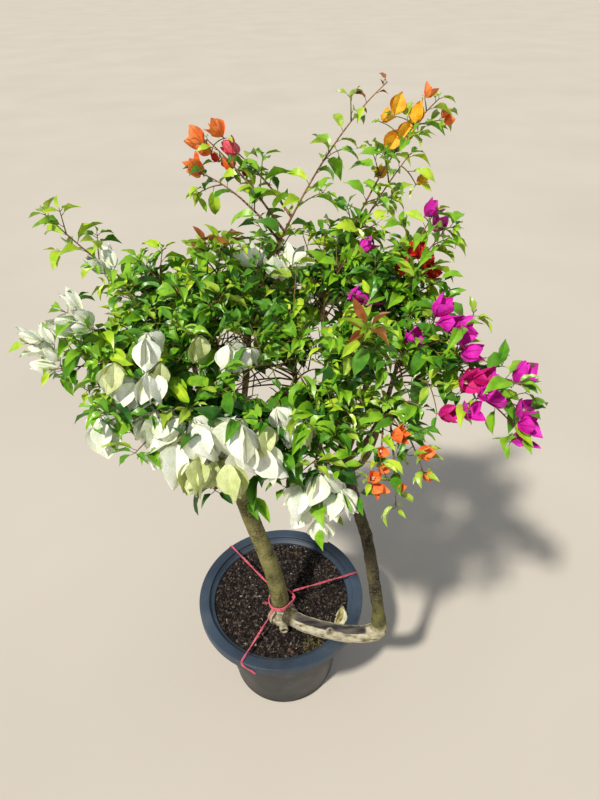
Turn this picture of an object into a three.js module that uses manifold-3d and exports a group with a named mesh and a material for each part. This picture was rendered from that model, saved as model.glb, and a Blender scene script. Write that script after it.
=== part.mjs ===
// Potted bougainvillea bush: a black nursery pot, a leaning trunk with a low side stem that turns
// upright over the rim, boughs, and a loose crown of separate foliage masses.
// Millimetres. The origin is the centre of the pot's flat underside, +X right, +Y back, +Z up.
import * as THREE from 'three';
import { mergeVertices } from 'three/addons/utils/BufferGeometryUtils.js';
import Module from 'manifold-3d';

const wasm = await Module();
wasm.setup();

// Gap between pieces that touch
const SEAT_GAP = 0.3;

// Pot
const POT_HEIGHT = 259;
const POT_BASE_RADIUS = 115;
const POT_NECK_RADIUS = 150.5;
const POT_MOUTH_RADIUS = 158;
const POT_RIM_RADIUS = 180;
const POT_WALL = 3;
const POT_FLOOR = 4;
const POT_NECK_HEIGHT = 246;
const POT_SKIRT_DEPTH = 20;
const POT_SIDES = 30;
const DRAIN_HOLES = 6;
const DRAIN_RADIUS = 8;
const DRAIN_RING_RADIUS = 80;

// Soil
const SOIL_LEVEL = 250;
const SOIL_EDGE_LEVEL = 244;
const SOIL_PLATEAU_RADIUS = 108;

// Trunk: its axis at the soil, the knee, the shoulder and the fork
const TRUNK_AXIS = [[4, -43, SOIL_LEVEL + SEAT_GAP], [-12, -38, 385], [-52, -28, 560], [-80, -22, 716]];
const TRUNK_FOOT_RADIUS = 19.5;
const TRUNK_FORK_RADIUS = 13.5;
const FLARE_EXTRA = 11;
const FLARE_HEIGHT = 28;
const BURL_RADIUS = 15;
const STUB_RADIUS = 8.5;
const STUB_LENGTH = 20;

// Side stem: out of the burl, low over the rim, up at the bend and in to its top
const RUN_LEVEL = POT_HEIGHT + SEAT_GAP + 20;
const BEND = [197, -116, 291];
const SIDE_AXIS = [
  [12, -66, 272], [60, -96, RUN_LEVEL], [130, -116, RUN_LEVEL + 1], [180, -118, RUN_LEVEL + 2], BEND,
  [198, -113, 335], [188, -104, 410], [170, -76, 520], [146, -54, 606], [125, -20, 717],
];
const SIDE_FOOT_RADIUS = 16.5;
const SIDE_BEND_RADIUS = 17.5;
const SIDE_UPRIGHT_RADIUS = 12.5;
const SIDE_TOP_RADIUS = 10;
const SIDE_BEND_AT = 0.32;
const SIDE_UPRIGHT_AT = 0.4;

// Boughs
const BOUGH_ROOT_RADIUS = 6.2;
const BOUGH_TIP_RADIUS = 3.8;
const BOUGH_SIDES = 5;
const BOUGH_STEPS = 3;

// Foliage
const STEM_LENGTH = 62;
const STEM_TIP_RADIUS = 3.2;
const SHOOT_RADIUS = 2.6;
const SHOOT_TIP_RADIUS = 1.8;
const SHOOT_STEPS = 3;
const SIDE_TWIG_STEP = 290;
const SIDE_TWIG_LENGTH = 60;
const SIDE_TWIG_RADIUS = 1.1;
const SIDE_TWIG_TIP_RADIUS = 0.9;
const LEAF_STEP = 33;
const LEAF_LENGTH = 72;
const LEAF_WIDTH = 41;
const LEAF_THICKNESS = 2;
const LEAF_DROOP = 0.12;
const LEAF_SINK = 0.2;
const BRACT_LENGTH = 40;
const BRACT_WIDTH = 33;
const LIMB_CLEARANCE = 5;
const SPACE_MARGIN = 2.5;
const LEAF_SPACING = 9;
const BLADE_SCALES = [1, 0.78, 0.6];
const GOLDEN_ANGLE = Math.PI * (3 - Math.sqrt(5));
const UP = new THREE.Vector3(0, 0, 1);

// Bract lying on the soil
const FALLEN_ROOT = [118, -78, 250];

// Twine
const TWINE_RADIUS = 2;
const TWINE_LEVEL = 297;
const TWINE_LOOP_SIDES = 14;
const TWINE_RUNS = [['run_back', -119, 131], ['run_right', 172, 47], ['run_front', -77, -160]];

// Each mass: the host limb and the height where its bough leaves it, the bough's tip, the middle and
// reach of its foliage, how many plain shoots fan out, and its own long shoots. A shoot is its tip,
// its lift (how far its middle rises over a straight line), its count of bract clusters and, where
// it forks from the mass's first shoot, the share of that shoot's length at which it does.
// bracts is the size of the mass's bracts where they are larger than usual.
const CROWN = [
  {
    name: 'left_tip', host: 'trunk', leaves: 622, entry: [-118, -12, 905], centre: [-150, -10, 985],
    reach: 62, fan: 3, seed: 11,
    shoots: [[-302, 30, 1106, -15, 1], [-183, -36, 1030, 6, 0]],
  },
  {
    name: 'far_left', host: 'trunk', leaves: 674, entry: [-134, -62, 862], centre: [-190, -98, 932],
    reach: 60, fan: 3, seed: 12,
    shoots: [[-318, -102, 975, -10, 3], [-262, -90, 1016, -10, 2], [-286, -124, 945, 4, 1]],
  },
  {
    name: 'lower_left', host: 'trunk', leaves: 640, entry: [-118, -108, 818], centre: [-158, -170, 896],
    reach: 60, fan: 3, seed: 13, bracts: 1.3,
    shoots: [[-210, -202, 936, 8, 0], [-214, -205, 882, 14, 1], [-146, -216, 872, 20, 3]],
  },
  {
    name: 'front_white', host: 'trunk', leaves: 690, entry: [-74, -112, 800], centre: [-62, -170, 880],
    reach: 62, fan: 3, seed: 14, bracts: 1.3,
    shoots: [[-100, -220, 856, 22, 3], [-22, -236, 874, 20, 3], [-64, -240, 822, 34, 3]],
  },
  {
    name: 'low_front', host: 'side', leaves: 650, entry: [84, -108, 770], centre: [44, -168, 862],
    reach: 64, fan: 3, seed: 15, bracts: 1.3,
    shoots: [[76, -222, 726, 30, 3], [130, -200, 770, 24, 1], [34, -190, 896, 8, 2], [-22, -222, 790, 30, 0]],
  },
  {
    name: 'upper_left', host: 'trunk', leaves: 714, entry: [-86, -48, 872], centre: [-86, -72, 970],
    reach: 72, fan: 4, seed: 16,
    shoots: [[-49, -20, 1080, 0, 0], [-42, -128, 962, 10, 2]],
  },
  {
    name: 'top_left', host: 'trunk', leaves: 692, entry: [-26, -6, 905], centre: [10, 34, 1020],
    reach: 60, fan: 3, seed: 17,
    shoots: [
      [181, 101, 1252, 38, 0], [-72, 100, 1190, 8, 2, 0.34], [-92, 84, 1148, 16, 1, 0.3],
      [-32, 100, 1172, 8, 1, 0.4],
    ],
  },
  {
    name: 'back_left', host: 'trunk', leaves: 676, entry: [-116, 44, 832], centre: [-150, 108, 898],
    reach: 76, fan: 4, seed: 18,
    shoots: [[-246, 120, 930, 10, 1], [-150, 190, 940, 16, 1]],
  },
  {
    name: 'back', host: 'trunk', leaves: 650, entry: [-42, 78, 832], centre: [-10, 172, 908],
    reach: 80, fan: 4, seed: 19,
    shoots: [[-30, 262, 940, 18, 1], [56, 246, 900, 18, 1]],
  },
  {
    name: 'centre', host: 'side', leaves: 690, entry: [52, -58, 846], centre: [6, -108, 930],
    reach: 80, fan: 4, seed: 20,
    shoots: [[52, -20, 1046, 4, 0], [-34, -156, 926, 14, 0], [34, -152, 966, 8, 0]],
  },
  {
    name: 'front_right', host: 'side', leaves: 706, entry: [118, -84, 840], centre: [122, -122, 935],
    reach: 64, fan: 3, seed: 21,
    shoots: [[140, -196, 1040, 0, 0], [112, -190, 880, 16, 1]],
  },
  {
    name: 'upper_right', host: 'side', leaves: 690, entry: [163, -22, 882], centre: [186, -36, 992],
    reach: 62, fan: 2, seed: 22,
    shoots: [[242, 0, 1106, 6, 1], [262, 6, 1080, 6, 1], [238, -28, 1038, 8, 2], [152, 2, 1066, 0, 1]],
  },
  {
    name: 'top_right', host: 'side', leaves: 716, entry: [92, 2, 915], centre: [104, 26, 1030],
    reach: 58, fan: 3, seed: 23,
    shoots: [[254, 100, 1230, 36, 4], [212, 58, 1168, 14, 1]],
  },
  {
    name: 'right', host: 'side', leaves: 682, entry: [186, -86, 866], centre: [228, -120, 938],
    reach: 54, fan: 2, seed: 24,
    shoots: [
      [350, -202, 914, 4, 3], [336, -198, 953, 6, 2], [346, -204, 876, 30, 1], [258, -150, 1012, 2, 3],
    ],
  },
  {
    name: 'lower_right', host: 'side', leaves: 664, entry: [166, -128, 832], centre: [184, -196, 890],
    reach: 42, fan: 2, seed: 25,
    shoots: [[178, -250, 792, 30, 2], [152, -250, 876, 14, 1], [210, -246, 852, 18, 2]],
  },
  {
    name: 'back_right', host: 'side', leaves: 676, entry: [138, 62, 852], centre: [146, 134, 924],
    reach: 78, fan: 4, seed: 26,
    shoots: [[236, 160, 956, 12, 1], [130, 222, 948, 16, 0]],
  },
];

const MATERIALS = {
  pot: { color: 0x1d2126, roughness: 0.55, metalness: 0 },
  soil: { color: 0x2a211b, roughness: 0.98, metalness: 0 },
  bark: { color: 0x77704f, roughness: 0.9, metalness: 0 },
  twig: { color: 0x5f6b39, roughness: 0.8, metalness: 0 },
  leaf: { color: 0x4f8a2a, roughness: 0.5, metalness: 0 },
  white: { color: 0xdfe3bd, roughness: 0.6, metalness: 0 },
  magenta: { color: 0xb81e8e, roughness: 0.6, metalness: 0 },
  orange: { color: 0xd9622a, roughness: 0.6, metalness: 0 },
  twine: { color: 0xc8343f, roughness: 0.6, metalness: 0 },
};
const MASS_COLOURS = { front_white: 'white', right: 'magenta', lower_right: 'orange' };

const group = new THREE.Group();

function vector(numbers) {
  return new THREE.Vector3(numbers[0], numbers[1], numbers[2]);
}

function addPiece(name, geometry, materialName) {
  const mesh = new THREE.Mesh(geometry, new THREE.MeshStandardMaterial(MATERIALS[materialName]));
  mesh.name = name;
  group.add(mesh);
}

// Solids: a closed mesh becomes a solid that can be joined and cut, and turns back into a mesh
function toSolid(geometry) {
  const bare = geometry.clone();
  bare.deleteAttribute('normal');
  bare.deleteAttribute('uv');
  const merged = mergeVertices(bare, 1e-4);
  const mesh = new wasm.Mesh({
    numProp: 3,
    vertProperties: new Float32Array(merged.attributes.position.array),
    triVerts: new Uint32Array(merged.index.array),
  });
  return new wasm.Manifold(mesh);
}

function toGeometry(solid) {
  const mesh = solid.getMesh();
  const geometry = new THREE.BufferGeometry();
  geometry.setAttribute('position', new THREE.BufferAttribute(mesh.vertProperties, 3));
  geometry.setIndex(new THREE.BufferAttribute(mesh.triVerts, 1));
  geometry.computeVertexNormals();
  return geometry;
}

function joined(solids) {
  return solids.reduce((whole, solid) => whole.add(solid));
}

// The largest of the pieces that a join or a cut leaves, with sealed hollows filled
function mainBody(solid) {
  const bodies = solid.decompose();
  return bodies.reduce((largest, body) => (body.volume() > largest.volume() ? body : largest));
}

// A round limb: a cylinder bent along a curve, with its own radius at each step. Grown, it is thicker
// and longer by the seat gap, to cut the room that it keeps from what meets it.
function limbGeometry(curve, radiusAt, sides, steps, grow = 0) {
  const geometry = new THREE.CylinderGeometry(1, 1, 1, sides, steps);
  const frames = curve.computeFrenetFrames(steps, false);
  const position = geometry.attributes.position;
  const vertex = new THREE.Vector3();
  for (let i = 0; i < position.count; i += 1) {
    vertex.fromBufferAttribute(position, i);
    const row = Math.round((vertex.y + 0.5) * steps);
    const along = row / steps;
    const radius = radiusAt(along) + grow;
    const placed = curve.getPointAt(along);
    if (row === steps) {
      placed.addScaledVector(frames.tangents[row], grow);
    }
    placed.addScaledVector(frames.normals[row], vertex.x * radius);
    placed.addScaledVector(frames.binormals[row], -vertex.z * radius);
    position.setXYZ(i, placed.x, placed.y, placed.z);
  }
  return geometry;
}

function taper(from, to) {
  return (along) => from + (to - from) * along;
}

function latheOf(profile, sides) {
  const points = profile.map(([radius, height]) => new THREE.Vector2(radius, height));
  return new THREE.LatheGeometry(points, sides).rotateX(Math.PI / 2);
}

// Pot
function potWallAt(height) {
  return POT_BASE_RADIUS + ((POT_NECK_RADIUS - POT_BASE_RADIUS) * height) / POT_NECK_HEIGHT;
}

function makePot() {
  const rim = POT_HEIGHT - POT_WALL;
  const neckInside = potWallAt(POT_NECK_HEIGHT) - POT_WALL;
  const profile = [
    [0, 0], [POT_BASE_RADIUS - 2, 0], [POT_BASE_RADIUS, 2], [POT_NECK_RADIUS, POT_NECK_HEIGHT],
    [POT_MOUTH_RADIUS + POT_WALL, POT_NECK_HEIGHT + 4], [POT_MOUTH_RADIUS + POT_WALL, rim],
    [POT_RIM_RADIUS - POT_WALL, rim], [POT_RIM_RADIUS - POT_WALL, POT_HEIGHT - POT_SKIRT_DEPTH],
    [POT_RIM_RADIUS, POT_HEIGHT - POT_SKIRT_DEPTH], [POT_RIM_RADIUS, POT_HEIGHT - 2.5],
    [POT_RIM_RADIUS - 2.5, POT_HEIGHT], [POT_MOUTH_RADIUS + 2, POT_HEIGHT],
    [POT_MOUTH_RADIUS, POT_HEIGHT - 2], [POT_MOUTH_RADIUS, POT_NECK_HEIGHT + 6],
    [neckInside, POT_NECK_HEIGHT + 2], [potWallAt(POT_FLOOR) - POT_WALL, POT_FLOOR], [0, POT_FLOOR],
  ];
  let pot = toSolid(latheOf(profile, POT_SIDES));
  for (let i = 0; i < DRAIN_HOLES; i += 1) {
    const angle = ((i + 0.5) / DRAIN_HOLES) * 2 * Math.PI;
    const drill = new THREE.CylinderGeometry(DRAIN_RADIUS, DRAIN_RADIUS, 4 * POT_FLOOR, 8);
    drill.rotateX(Math.PI / 2);
    drill.translate(Math.cos(angle) * DRAIN_RING_RADIUS, Math.sin(angle) * DRAIN_RING_RADIUS, 0);
    pot = pot.subtract(toSolid(drill));
  }
  addPiece('pot', toGeometry(pot), 'pot');
}

function makeSoil() {
  const side = (height) => potWallAt(height) - POT_WALL - SEAT_GAP * 1.2;
  const profile = [
    [0, POT_FLOOR + SEAT_GAP], [side(POT_FLOOR), POT_FLOOR + SEAT_GAP],
    [side(SOIL_EDGE_LEVEL), SOIL_EDGE_LEVEL], [SOIL_PLATEAU_RADIUS, SOIL_LEVEL], [0, SOIL_LEVEL],
  ];
  addPiece('soil', toGeometry(toSolid(latheOf(profile, POT_SIDES))), 'soil');
}

// Limbs
const trunkCurve = new THREE.CatmullRomCurve3(TRUNK_AXIS.map(vector));
const sideCurve = new THREE.CatmullRomCurve3(SIDE_AXIS.map(vector), false, 'centripetal');

const trunkRadius = taper(TRUNK_FOOT_RADIUS, TRUNK_FORK_RADIUS);
const boughRadius = taper(BOUGH_ROOT_RADIUS, BOUGH_TIP_RADIUS);

// Thickest along its low run, it thins quickly past the bend
function sideRadius(along) {
  const { mapLinear } = THREE.MathUtils;
  if (along < SIDE_BEND_AT) {
    return mapLinear(along, 0, SIDE_BEND_AT, SIDE_FOOT_RADIUS, SIDE_BEND_RADIUS);
  }
  if (along < SIDE_UPRIGHT_AT) {
    return mapLinear(along, SIDE_BEND_AT, SIDE_UPRIGHT_AT, SIDE_BEND_RADIUS, SIDE_UPRIGHT_RADIUS);
  }
  return mapLinear(along, SIDE_UPRIGHT_AT, 1, SIDE_UPRIGHT_RADIUS, SIDE_TOP_RADIUS);
}

// A large block that fills the space behind a point, as seen along a direction
function blockBehind(point, direction) {
  const size = 2000;
  const block = new THREE.BoxGeometry(size, size, size).translate(0, 0, -size / 2);
  const turn = new THREE.Quaternion().setFromUnitVectors(UP, direction);
  block.applyQuaternion(turn).translate(point.x, point.y, point.z);
  return toSolid(block);
}

function blob(centre, radius, squash) {
  return new THREE.IcosahedronGeometry(radius, 1).scale(1, 1, squash).translate(...centre);
}

function trunkSolid(grow) {
  const foot = TRUNK_AXIS[0];
  const parts = [toSolid(limbGeometry(trunkCurve, trunkRadius, 10, 8, grow))];
  const flareEnd = trunkCurve.getPointAt(FLARE_HEIGHT / trunkCurve.getLength());
  const flare = new THREE.LineCurve3(vector(foot), flareEnd);
  const flareRadius = (along) => TRUNK_FOOT_RADIUS - 0.5 + FLARE_EXTRA * (1 - along) ** 2;
  parts.push(toSolid(limbGeometry(flare, flareRadius, 10, 3, grow)));
  for (let i = 0; i < 4; i += 1) {
    const angle = -2.5 + i * 0.72;
    const radius = BURL_RADIUS * (1 - 0.12 * (i % 2)) + grow;
    const centre = [
      foot[0] + 21 * Math.cos(angle), foot[1] + 25 * Math.sin(angle), foot[2] + 4 + 3 * (i % 3),
    ];
    parts.push(toSolid(blob(centre, radius, 0.9)));
  }
  const stubEnd = new THREE.Vector3(foot[0] + 4, foot[1] - 34 - STUB_LENGTH, foot[2] + 14);
  const stub = new THREE.LineCurve3(vector(foot).setZ(foot[2] + 8), stubEnd);
  parts.push(toSolid(limbGeometry(stub, () => STUB_RADIUS + grow, 9, 1)));
  const ground = blockBehind(new THREE.Vector3(0, 0, foot[2] - grow), UP);
  return mainBody(joined(parts).subtract(ground));
}

function makeLimbs() {
  const trunk = trunkSolid(0);
  addPiece('trunk', toGeometry(trunk), 'bark');
  const side = toSolid(limbGeometry(sideCurve, sideRadius, 10, 24)).subtract(trunkSolid(SEAT_GAP));
  const corner = vector(BEND);
  const across = new THREE.Vector3(1, 0, 1).normalize();
  const half = SEAT_GAP / 2;
  const lowSpace = blockBehind(corner.clone().addScaledVector(across, -half), across);
  const lowSpaceAndGap = blockBehind(corner.clone().addScaledVector(across, half), across);
  addPiece('side_stem_low', toGeometry(mainBody(side.intersect(lowSpace))), 'bark');
  addPiece('side_stem_high', toGeometry(mainBody(side.subtract(lowSpaceAndGap))), 'bark');
}

function hostAt(host, height) {
  const curve = host === 'trunk' ? trunkCurve : sideCurve;
  let low = host === 'trunk' ? 0 : 0.5;
  let high = 1;
  for (let i = 0; i < 30; i += 1) {
    const middle = (low + high) / 2;
    if (curve.getPoint(middle).z < height) {
      low = middle;
    } else {
      high = middle;
    }
  }
  return curve.getPoint(high);
}

// A bough leaves its host steeply, then arches out to the tip where its mass begins
function boughCurve(mass) {
  const root = hostAt(mass.host, mass.leaves);
  const tip = vector(mass.entry);
  const control = new THREE.Vector3(
    THREE.MathUtils.lerp(root.x, tip.x, 0.75),
    THREE.MathUtils.lerp(root.y, tip.y, 0.75),
    THREE.MathUtils.lerp(root.z, tip.z, 0.4),
  );
  return new THREE.QuadraticBezierCurve3(root, control, tip);
}

const boughs = new Map(CROWN.map((mass) => [mass.name, boughCurve(mass)]));

function makeBoughs() {
  const hosts = {
    trunk: toSolid(limbGeometry(trunkCurve, trunkRadius, 10, 8, SEAT_GAP)),
    side: toSolid(limbGeometry(sideCurve, sideRadius, 10, 24, SEAT_GAP)),
  };
  for (const mass of CROWN) {
    const curve = boughs.get(mass.name);
    const whole = toSolid(limbGeometry(curve, boughRadius, BOUGH_SIDES, BOUGH_STEPS));
    addPiece(`bough_${mass.name}`, toGeometry(mainBody(whole.subtract(hosts[mass.host]))), 'twig');
  }
}

// Foliage
// A repeatable row of numbers between 0 and 1
function seeded(seed) {
  let state = (seed * 7919) % 2147483647;
  return () => {
    state = (state * 48271) % 2147483647;
    return state / 2147483647;
  };
}

// The direction square to an axis, turned round it by an angle
function squareTo(axis, angle) {
  const reference = Math.abs(axis.z) < 0.9 ? UP : new THREE.Vector3(1, 0, 0);
  const first = new THREE.Vector3().crossVectors(axis, reference).normalize();
  const second = new THREE.Vector3().crossVectors(axis, first);
  return first.multiplyScalar(Math.cos(angle)).addScaledVector(second, Math.sin(angle));
}

function arch(start, tip, lift) {
  const control = start.clone().lerp(tip, 0.5).addScaledVector(UP, 2 * lift);
  return new THREE.QuadraticBezierCurve3(start, control, tip);
}

// The stem goes on from the bough's tip, and the shoots of the mass leave it one above the other
function massStem(mass) {
  const bough = boughs.get(mass.name);
  const ahead = bough.getTangent(1);
  const foot = bough.getPoint(1).addScaledVector(ahead, SEAT_GAP);
  const head = foot.clone().addScaledVector(ahead, STEM_LENGTH);
  return new THREE.LineCurve3(foot, head);
}

function massShoots(mass) {
  const stem = massStem(mass);
  const count = mass.shoots.length + mass.fan;
  const startOf = (index) => stem.getPoint(0.985 - (0.8 * index) / count);
  const shoots = [];
  mass.shoots.forEach(([x, y, z, lift, blooms, fork], index) => {
    const start = fork ? axisPoint(shoots[0].curve, SHOOT_STEPS, fork) : startOf(index);
    shoots.push({ curve: arch(start, new THREE.Vector3(x, y, z), lift), blooms, long: true });
  });
  const random = seeded(mass.seed);
  for (let i = 0; i < mass.fan; i += 1) {
    const height = 1 - (1.55 * (i + 0.5)) / mass.fan;
    const angle = i * GOLDEN_ANGLE + mass.seed;
    const round = Math.sqrt(1 - height * height);
    const reach = mass.reach * (0.9 + 0.2 * random());
    const outward = new THREE.Vector3(round * Math.cos(angle), round * Math.sin(angle), height);
    const tip = vector(mass.centre).addScaledVector(outward, reach);
    shoots.push({ curve: arch(startOf(mass.shoots.length + i), tip, 10), blooms: 0, long: false });
  }
  return shoots;
}

// What each mass has to keep clear of: the limbs, and the shoots of the other masses
const limbBalls = [];
const shootDots = [];

function layOutSpaces() {
  const addLimb = (curve, radiusAt, count) => {
    for (let i = 0; i <= count; i += 1) {
      limbBalls.push({ at: curve.getPoint(i / count), radius: radiusAt(i / count) });
    }
  };
  addLimb(trunkCurve, trunkRadius, 60);
  addLimb(sideCurve, sideRadius, 100);
  for (const mass of CROWN) {
    addLimb(boughs.get(mass.name), boughRadius, 30);
    for (const curve of [massStem(mass), ...massShoots(mass).map((shoot) => shoot.curve)]) {
      for (const at of curve.getPoints(14)) {
        shootDots.push({ at, mass: mass.name });
      }
    }
  }
}

function clearOfLimbs(points) {
  return points.every((point) => (
    limbBalls.every((ball) => ball.at.distanceTo(point) > ball.radius + LIMB_CLEARANCE)
  ));
}

function inOwnSpace(points, name) {
  return points.every((point) => {
    let own = Infinity;
    let other = Infinity;
    for (const dot of shootDots) {
      const distance = dot.at.distanceTo(point);
      if (dot.mass === name) {
        own = Math.min(own, distance);
      } else {
        other = Math.min(other, distance);
      }
    }
    return own + SPACE_MARGIN < other;
  });
}

// A blade, a leaf or a bract: a keeled lozenge that is widest at its shoulders and droops to a point.
// Its corners are the root, the right and left shoulders, the keel and the tip.
function bladeSolid({ root, direction, normal, length, width }) {
  const side = new THREE.Vector3().crossVectors(direction, normal);
  const corner = (along, across, raise) => root.clone().addScaledVector(direction, along)
    .addScaledVector(side, across).addScaledVector(normal, raise).toArray();
  const shoulder = 0.4 * length;
  const corners = [
    corner(-LEAF_SINK, 0, 0), corner(shoulder, width / 2, 0), corner(shoulder, -width / 2, 0),
    corner(shoulder, 0, -LEAF_THICKNESS), corner(length, 0, -LEAF_DROOP * length),
  ];
  const faces = [0, 1, 2, 4, 2, 1, 0, 2, 3, 0, 3, 1, 4, 3, 2, 4, 1, 3];
  const mesh = new wasm.Mesh({
    numProp: 3, vertProperties: new Float32Array(corners.flat()), triVerts: new Uint32Array(faces),
  });
  return new wasm.Manifold(mesh);
}

function bladePoints({ root, direction, normal, length, width }) {
  const side = new THREE.Vector3().crossVectors(direction, normal);
  const spots = [[0.25, 0], [0.5, 0], [0.75, 0], [0.42, 0.5], [0.42, -0.5], [0.7, 0.3], [0.7, -0.3]];
  const points = spots.map(([along, across]) => (
    root.clone().addScaledVector(direction, along * length).addScaledVector(side, across * width)
  ));
  points.push(root.clone().addScaledVector(direction, length).addScaledVector(normal, -LEAF_DROOP * length));
  return points;
}

function facing(direction, wanted) {
  const normal = wanted.clone().addScaledVector(direction, -wanted.dot(direction));
  return normal.normalize();
}

// A point on the straight pieces that a limb's solid has between its steps
function axisPoint(curve, steps, along) {
  const row = Math.min(Math.floor(along * steps), steps - 1);
  const from = curve.getPointAt(row / steps);
  return from.lerp(curve.getPointAt((row + 1) / steps), along * steps - row);
}

function leafOn(curve, steps, along, turn, size, random) {
  const tangent = curve.getTangentAt(along);
  const outward = squareTo(tangent, turn);
  const direction = outward.multiplyScalar(0.85).addScaledVector(tangent, 0.5);
  direction.addScaledVector(UP, -0.1 - 0.4 * random()).normalize();
  const length = LEAF_LENGTH * size * (0.82 + 0.3 * random());
  return {
    root: axisPoint(curve, steps, along), direction, normal: facing(direction, UP),
    length, width: (LEAF_WIDTH / LEAF_LENGTH) * length,
  };
}

// Three papery bracts round one point
function clusterOn(curve, steps, along, turn, size) {
  const tangent = curve.getTangentAt(along);
  const axis = squareTo(tangent, turn).multiplyScalar(0.8).addScaledVector(tangent, 0.5);
  axis.addScaledVector(UP, -0.35).normalize();
  const root = axisPoint(curve, steps, along);
  return [0, 1, 2].map((i) => {
    const spread = squareTo(axis, turn + (i * 2 * Math.PI) / 3);
    const direction = axis.clone().multiplyScalar(0.62).addScaledVector(spread, 0.78).normalize();
    return {
      root, direction, normal: facing(direction, spread),
      length: BRACT_LENGTH * size, width: BRACT_WIDTH * size,
    };
  });
}

function growMass(mass) {
  const stem = massStem(mass);
  const solids = [toSolid(limbGeometry(stem, taper(BOUGH_TIP_RADIUS, STEM_TIP_RADIUS), BOUGH_SIDES, 1))];
  const taken = [];

  // A blade that would leave the space, touch a limb or crowd another is tried smaller, then skipped
  const addBlade = (blade) => {
    for (const scale of BLADE_SCALES) {
      const scaled = { ...blade, length: blade.length * scale, width: blade.width * scale };
      const points = bladePoints(scaled);
      const crowded = taken.some((spot) => points.some((point) => point.distanceTo(spot) < LEAF_SPACING));
      if (!crowded && clearOfLimbs(points) && inOwnSpace(points, mass.name)) {
        taken.push(...points);
        solids.push(bladeSolid(scaled));
        return;
      }
    }
  };

  const addLeaves = (curve, steps, from, phase, random) => {
    const count = Math.max(1, Math.round((curve.getLength() * (1 - from)) / LEAF_STEP));
    for (let i = 0; i <= count; i += 1) {
      const along = from + ((1 - from) * i) / count;
      const size = 1 - 0.3 * along;
      addBlade(leafOn(curve, steps, along * 0.985, phase + i * GOLDEN_ANGLE, size, random));
    }
  };

  massShoots(mass).forEach(({ curve, blooms, long }, index) => {
    const random = seeded(mass.seed * 100 + index);
    const phase = 2 * Math.PI * random();
    const length = curve.getLength();
    const steps = long ? SHOOT_STEPS : 1;
    solids.push(toSolid(limbGeometry(curve, taper(SHOOT_RADIUS, SHOOT_TIP_RADIUS), 3, steps)));
    for (let i = 0; i < blooms; i += 1) {
      const along = 1 - (0.42 * i) / Math.max(blooms, 2);
      const turn = phase + i * GOLDEN_ANGLE * 1.5;
      for (const bract of clusterOn(curve, steps, along * 0.985, turn, mass.bracts ?? 1)) {
        addBlade(bract);
      }
    }
    const twigs = Math.round(length / SIDE_TWIG_STEP);
    for (let i = 0; i < twigs; i += 1) {
      const along = 0.25 + (0.62 * (i + 0.5)) / twigs;
      const tangent = curve.getTangentAt(along);
      const outward = squareTo(tangent, phase + i * GOLDEN_ANGLE);
      const reach = SIDE_TWIG_LENGTH * (1.15 - 0.5 * along) * (0.8 + 0.4 * random());
      const start = axisPoint(curve, steps, along);
      const tip = start.clone().addScaledVector(outward, 0.75 * reach).addScaledVector(tangent, 0.6 * reach);
      const twig = arch(start, tip, 4);
      const sample = twig.getPoints(8).slice(2);
      if (clearOfLimbs(sample) && inOwnSpace(sample, mass.name)) {
        solids.push(toSolid(limbGeometry(twig, taper(SIDE_TWIG_RADIUS, SIDE_TWIG_TIP_RADIUS), 3, 1)));
        addLeaves(twig, 1, 0.35, phase + i, random);
      }
    }
    addLeaves(curve, steps, 0.3, phase, random);
  });
  return mainBody(joined(solids));
}

function makeFoliage() {
  layOutSpaces();
  for (const mass of CROWN) {
    addPiece(`foliage_${mass.name}`, toGeometry(growMass(mass)), MASS_COLOURS[mass.name] ?? 'leaf');
  }
}

// A pale bract that has dropped on the soil at the front right of the pot
function makeFallenBract() {
  const direction = new THREE.Vector3(0.43, 0.9, 0.04).normalize();
  const normal = facing(direction, new THREE.Vector3(-0.3, 0.13, 0.94));
  const bract = bladeSolid({ root: vector(FALLEN_ROOT), direction, normal, length: 44, width: 22 });
  addPiece('fallen_bract', toGeometry(bract), 'white');
}

// Twine: a knotted loop round the trunk's foot, and three taut runs from it to the pot's rim
function makeTwine() {
  const along = (TWINE_LEVEL - TRUNK_AXIS[0][2]) / (TRUNK_AXIS[3][2] - TRUNK_AXIS[0][2]);
  const centre = hostAt('trunk', TWINE_LEVEL);
  const widest = trunkRadius(along) + 2 * SEAT_GAP + TWINE_RADIUS;
  const loopRadius = widest / Math.cos(Math.PI / TWINE_LOOP_SIDES);
  const loop = new THREE.TorusGeometry(loopRadius, TWINE_RADIUS, 5, TWINE_LOOP_SIDES);
  const strand = loopRadius + TWINE_RADIUS + SEAT_GAP;
  loop.translate(centre.x, centre.y, centre.z);
  addPiece('twine_loop', loop, 'twine');
  for (const [name, x, y] of TWINE_RUNS) {
    const away = new THREE.Vector3(x - centre.x, y - centre.y, 0).normalize();
    const start = centre.clone().addScaledVector(away, strand);
    const end = new THREE.Vector3(x, y, POT_HEIGHT + SEAT_GAP + TWINE_RADIUS);
    const run = new THREE.LineCurve3(start, end);
    addPiece(`twine_${name}`, limbGeometry(run, () => TWINE_RADIUS, 5, 1), 'twine');
  }
}

makePot();
makeSoil();
makeLimbs();
makeBoughs();
makeFoliage();
makeTwine();
makeFallenBract();

export default group;
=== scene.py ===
"""The potted bougainvillea bush: its looks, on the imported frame.

Every place is worked out in millimetres from named sizes, and turned into metres where a mesh is made.
"""
import math
from collections import namedtuple
from itertools import product

import bpy
import numpy as np
from mathutils import Matrix, Vector


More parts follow.
